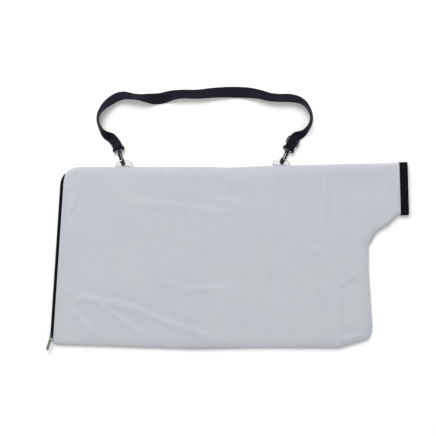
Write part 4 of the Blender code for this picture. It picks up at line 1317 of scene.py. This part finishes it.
def framed(line):
    """Adds the outward direction to each station, square to the width and the way.

    The width direction keeps its length, which says how much wider the webbing is there. Stations
    whose lower edge would sink into the ground are raised.
    """
    found = []
    for i, (point, width) in enumerate(line):
        way = (line[min(i + 1, len(line) - 1)][0] - line[max(i - 1, 0)][0]).normalized()
        wide = (width - way * width.dot(way)).normalized()
        normal = way.cross(wide)
        wide *= width.length
        sides = [wide * s * WEB_WIDTH / 2 for s in (-1, 1)]
        faces = [normal * t * WEB_THICK / 2 for t in (-1, 1)]
        lowest = min((point + side + face).z for side in sides for face in faces)
        raised = max(0.0, 0.05 - lowest)
        found.append((point + Vector((0, 0, raised)), wide, normal))
    return found


loose = smooth_between([first_part[-1]] + ground_part + [last_part[0]], 3.5)
strap_line = framed(first_part[:-1] + loose + last_part[1:])
webbing_strap = ribbon("webbing_strap", strap_line, WEB_WIDTH, WEB_THICK, WEBBING_FINISH, 0.05)
stand_for(webbing_strap, "shoulder_strap")
strap_length = sum((b[0] - a[0]).length for a, b in zip(strap_line, strap_line[1:]))
print("strap length:", round(strap_length), "mm, with", len(strap_line), "stations")

# %% [markdown]
# ## Box stitch on the strap
# The folded end is held by a box of stitches with a cross in it, the usual way to sew a load.
# The stitches lie on the upper layer near the left eye.

# %% Box stitch
BOX_CORNERS = ((6.0, -9.0), (6.0, 9.0), (14.0, 9.0), (14.0, -9.0))
BOX_ORDER = (0, 1, 2, 3, 0, 2, 3, 1)


def on_strap(along, across):
    """A point on top of the upper layer of webbing, out from the left eye's bar."""
    at = [a for a, _ in RISE]
    level = np.interp(along, at, [z for _, z in RISE]) + WEB_THICK / 2 + 0.15
    aside = np.interp(along, at, RISE_ASIDE)
    spot = Vector((across - aside, EYE_BAR_AT + along, level - HOOK_LEVEL))
    return np.array(hook_frame("left") @ spot)


box_path = [on_strap(*BOX_CORNERS[k]) for k in BOX_ORDER]
box_stitches = stitch_row("strap_box_stitches", box_path, BLACK_THREAD)
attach(box_stitches, "strap")
print("box stitches:", len(box_stitches.data.vertices) // 20)

# %% [markdown]
# ## Floor, light and camera
# The bag was photographed from straight above on white. A long lens keeps its shape true. One broad
# lamp stands high at the upper left and the rest of the room is even and white, which leaves a soft
# shadow at the lower right. Together they light a flat surface at about the level at which a colour
# shows as it is written. The floor is white, and what the camera and mirrors see of it is lifted a
# touch, so that it clips to white away from the shadow. Mirrors and the camera also see the room
# brighter than it lights the bag, as a real white studio is seen in bright metal.

# %% Floor
FLOOR_HALF = 6000
FLOOR_GLOW = 0.13
SEEN_RAYS = ("Is Camera Ray", "Is Glossy Ray", "Is Transmission Ray")


def is_seen(tree):
    """1 for a ray that the camera, a mirror or glass looks along, and 0 for the others."""
    rays = add_node(tree, "ShaderNodeLightPath")
    seen = rays.outputs[SEEN_RAYS[0]]
    for kind in SEEN_RAYS[1:]:
        either = {0: seen, 1: rays.outputs[kind]}
        seen = add_node(tree, "ShaderNodeMath", either, operation="MAXIMUM").outputs[0]
    return seen


def studio_floor():
    """White paint that takes a shadow and glows a little to the eye."""
    made, tree, shader = new_finish("studio_floor_painted_white", 1.0)
    shader.inputs["Base Color"].default_value = linear("#FFFFFF")
    shader.inputs["Specular IOR Level"].default_value = 0.0
    glow = {0: is_seen(tree), 1: FLOOR_GLOW}
    lifted = add_node(tree, "ShaderNodeMath", glow, operation="MULTIPLY")
    shader.inputs["Emission Color"].default_value = linear("#FFFFFF")
    tree.links.new(lifted.outputs[0], shader.inputs["Emission Strength"])
    return made


floor_corners = [(x * FLOOR_HALF, y * FLOOR_HALF, 0) for x, y in ((-1, -1), (1, -1), (1, 1), (-1, 1))]
floor = new_piece("floor", floor_corners, [(0, 1, 2, 3)], studio_floor())
print("floor:", 2 * FLOOR_HALF * MM, "m wide")

# %% Light from the room
ROOM_LIGHT, ROOM_SEEN = 0.5, 0.8  # how brightly it lights and how brightly it is seen

room = bpy.data.worlds.new("white_room")
room.use_nodes = True
tree = room.node_tree
limits = {"Value": is_seen(tree), "To Min": ROOM_LIGHT, "To Max": ROOM_SEEN}
level = add_node(tree, "ShaderNodeMapRange", limits)
walls = tree.nodes["Background"]
walls.inputs["Color"].default_value = linear("#FFFFFF")
tree.links.new(level.outputs["Result"], walls.inputs["Strength"])
bpy.context.scene.world = room
print("room:", ROOM_LIGHT, "to light and", ROOM_SEEN, "to see")

# %% Key lamp
LAMP_PLACE = Vector((-1.5, 4.3, 4.7))  # in metres, as are its target and its size
LAMP_TARGET = Vector((0.0, 0.1, 0.0))

key = bpy.data.lights.new("key_lamp", "AREA")
key.shape = "DISK"
key.size = 4.4
key.energy = 296.0
lamp = bpy.data.objects.new("key_lamp", key)
lamp.location = LAMP_PLACE
lamp.rotation_euler = (LAMP_TARGET - LAMP_PLACE).to_track_quat("-Z", "Y").to_euler()
bpy.context.scene.collection.objects.link(lamp)
print("key lamp:", key.energy, "W from", round((LAMP_TARGET - LAMP_PLACE).length, 2), "m")

# %% Camera
TOP_OF_BAG = 10.0 * MM
CAMERA_LIFT = 2.67  # metres above the bag, far enough for a true shape
FRAME_WIDTH = 1133.6 * MM * (CAMERA_LIFT + TOP_OF_BAG) / CAMERA_LIFT
LENS, SENSOR = 85.0, 36.0
VIEW_CENTRE = (15.6 * MM, 102.7 * MM)

camera = bpy.data.objects.new("camera", bpy.data.cameras.new("camera"))
camera.data.lens = LENS
camera.data.sensor_width = SENSOR
camera.location = (*VIEW_CENTRE, FRAME_WIDTH * LENS / SENSOR)
bpy.context.scene.collection.objects.link(camera)
bpy.context.scene.camera = camera
bpy.context.scene.view_settings.view_transform = "Standard"
print("camera height:", round(camera.location.z, 3), "m")
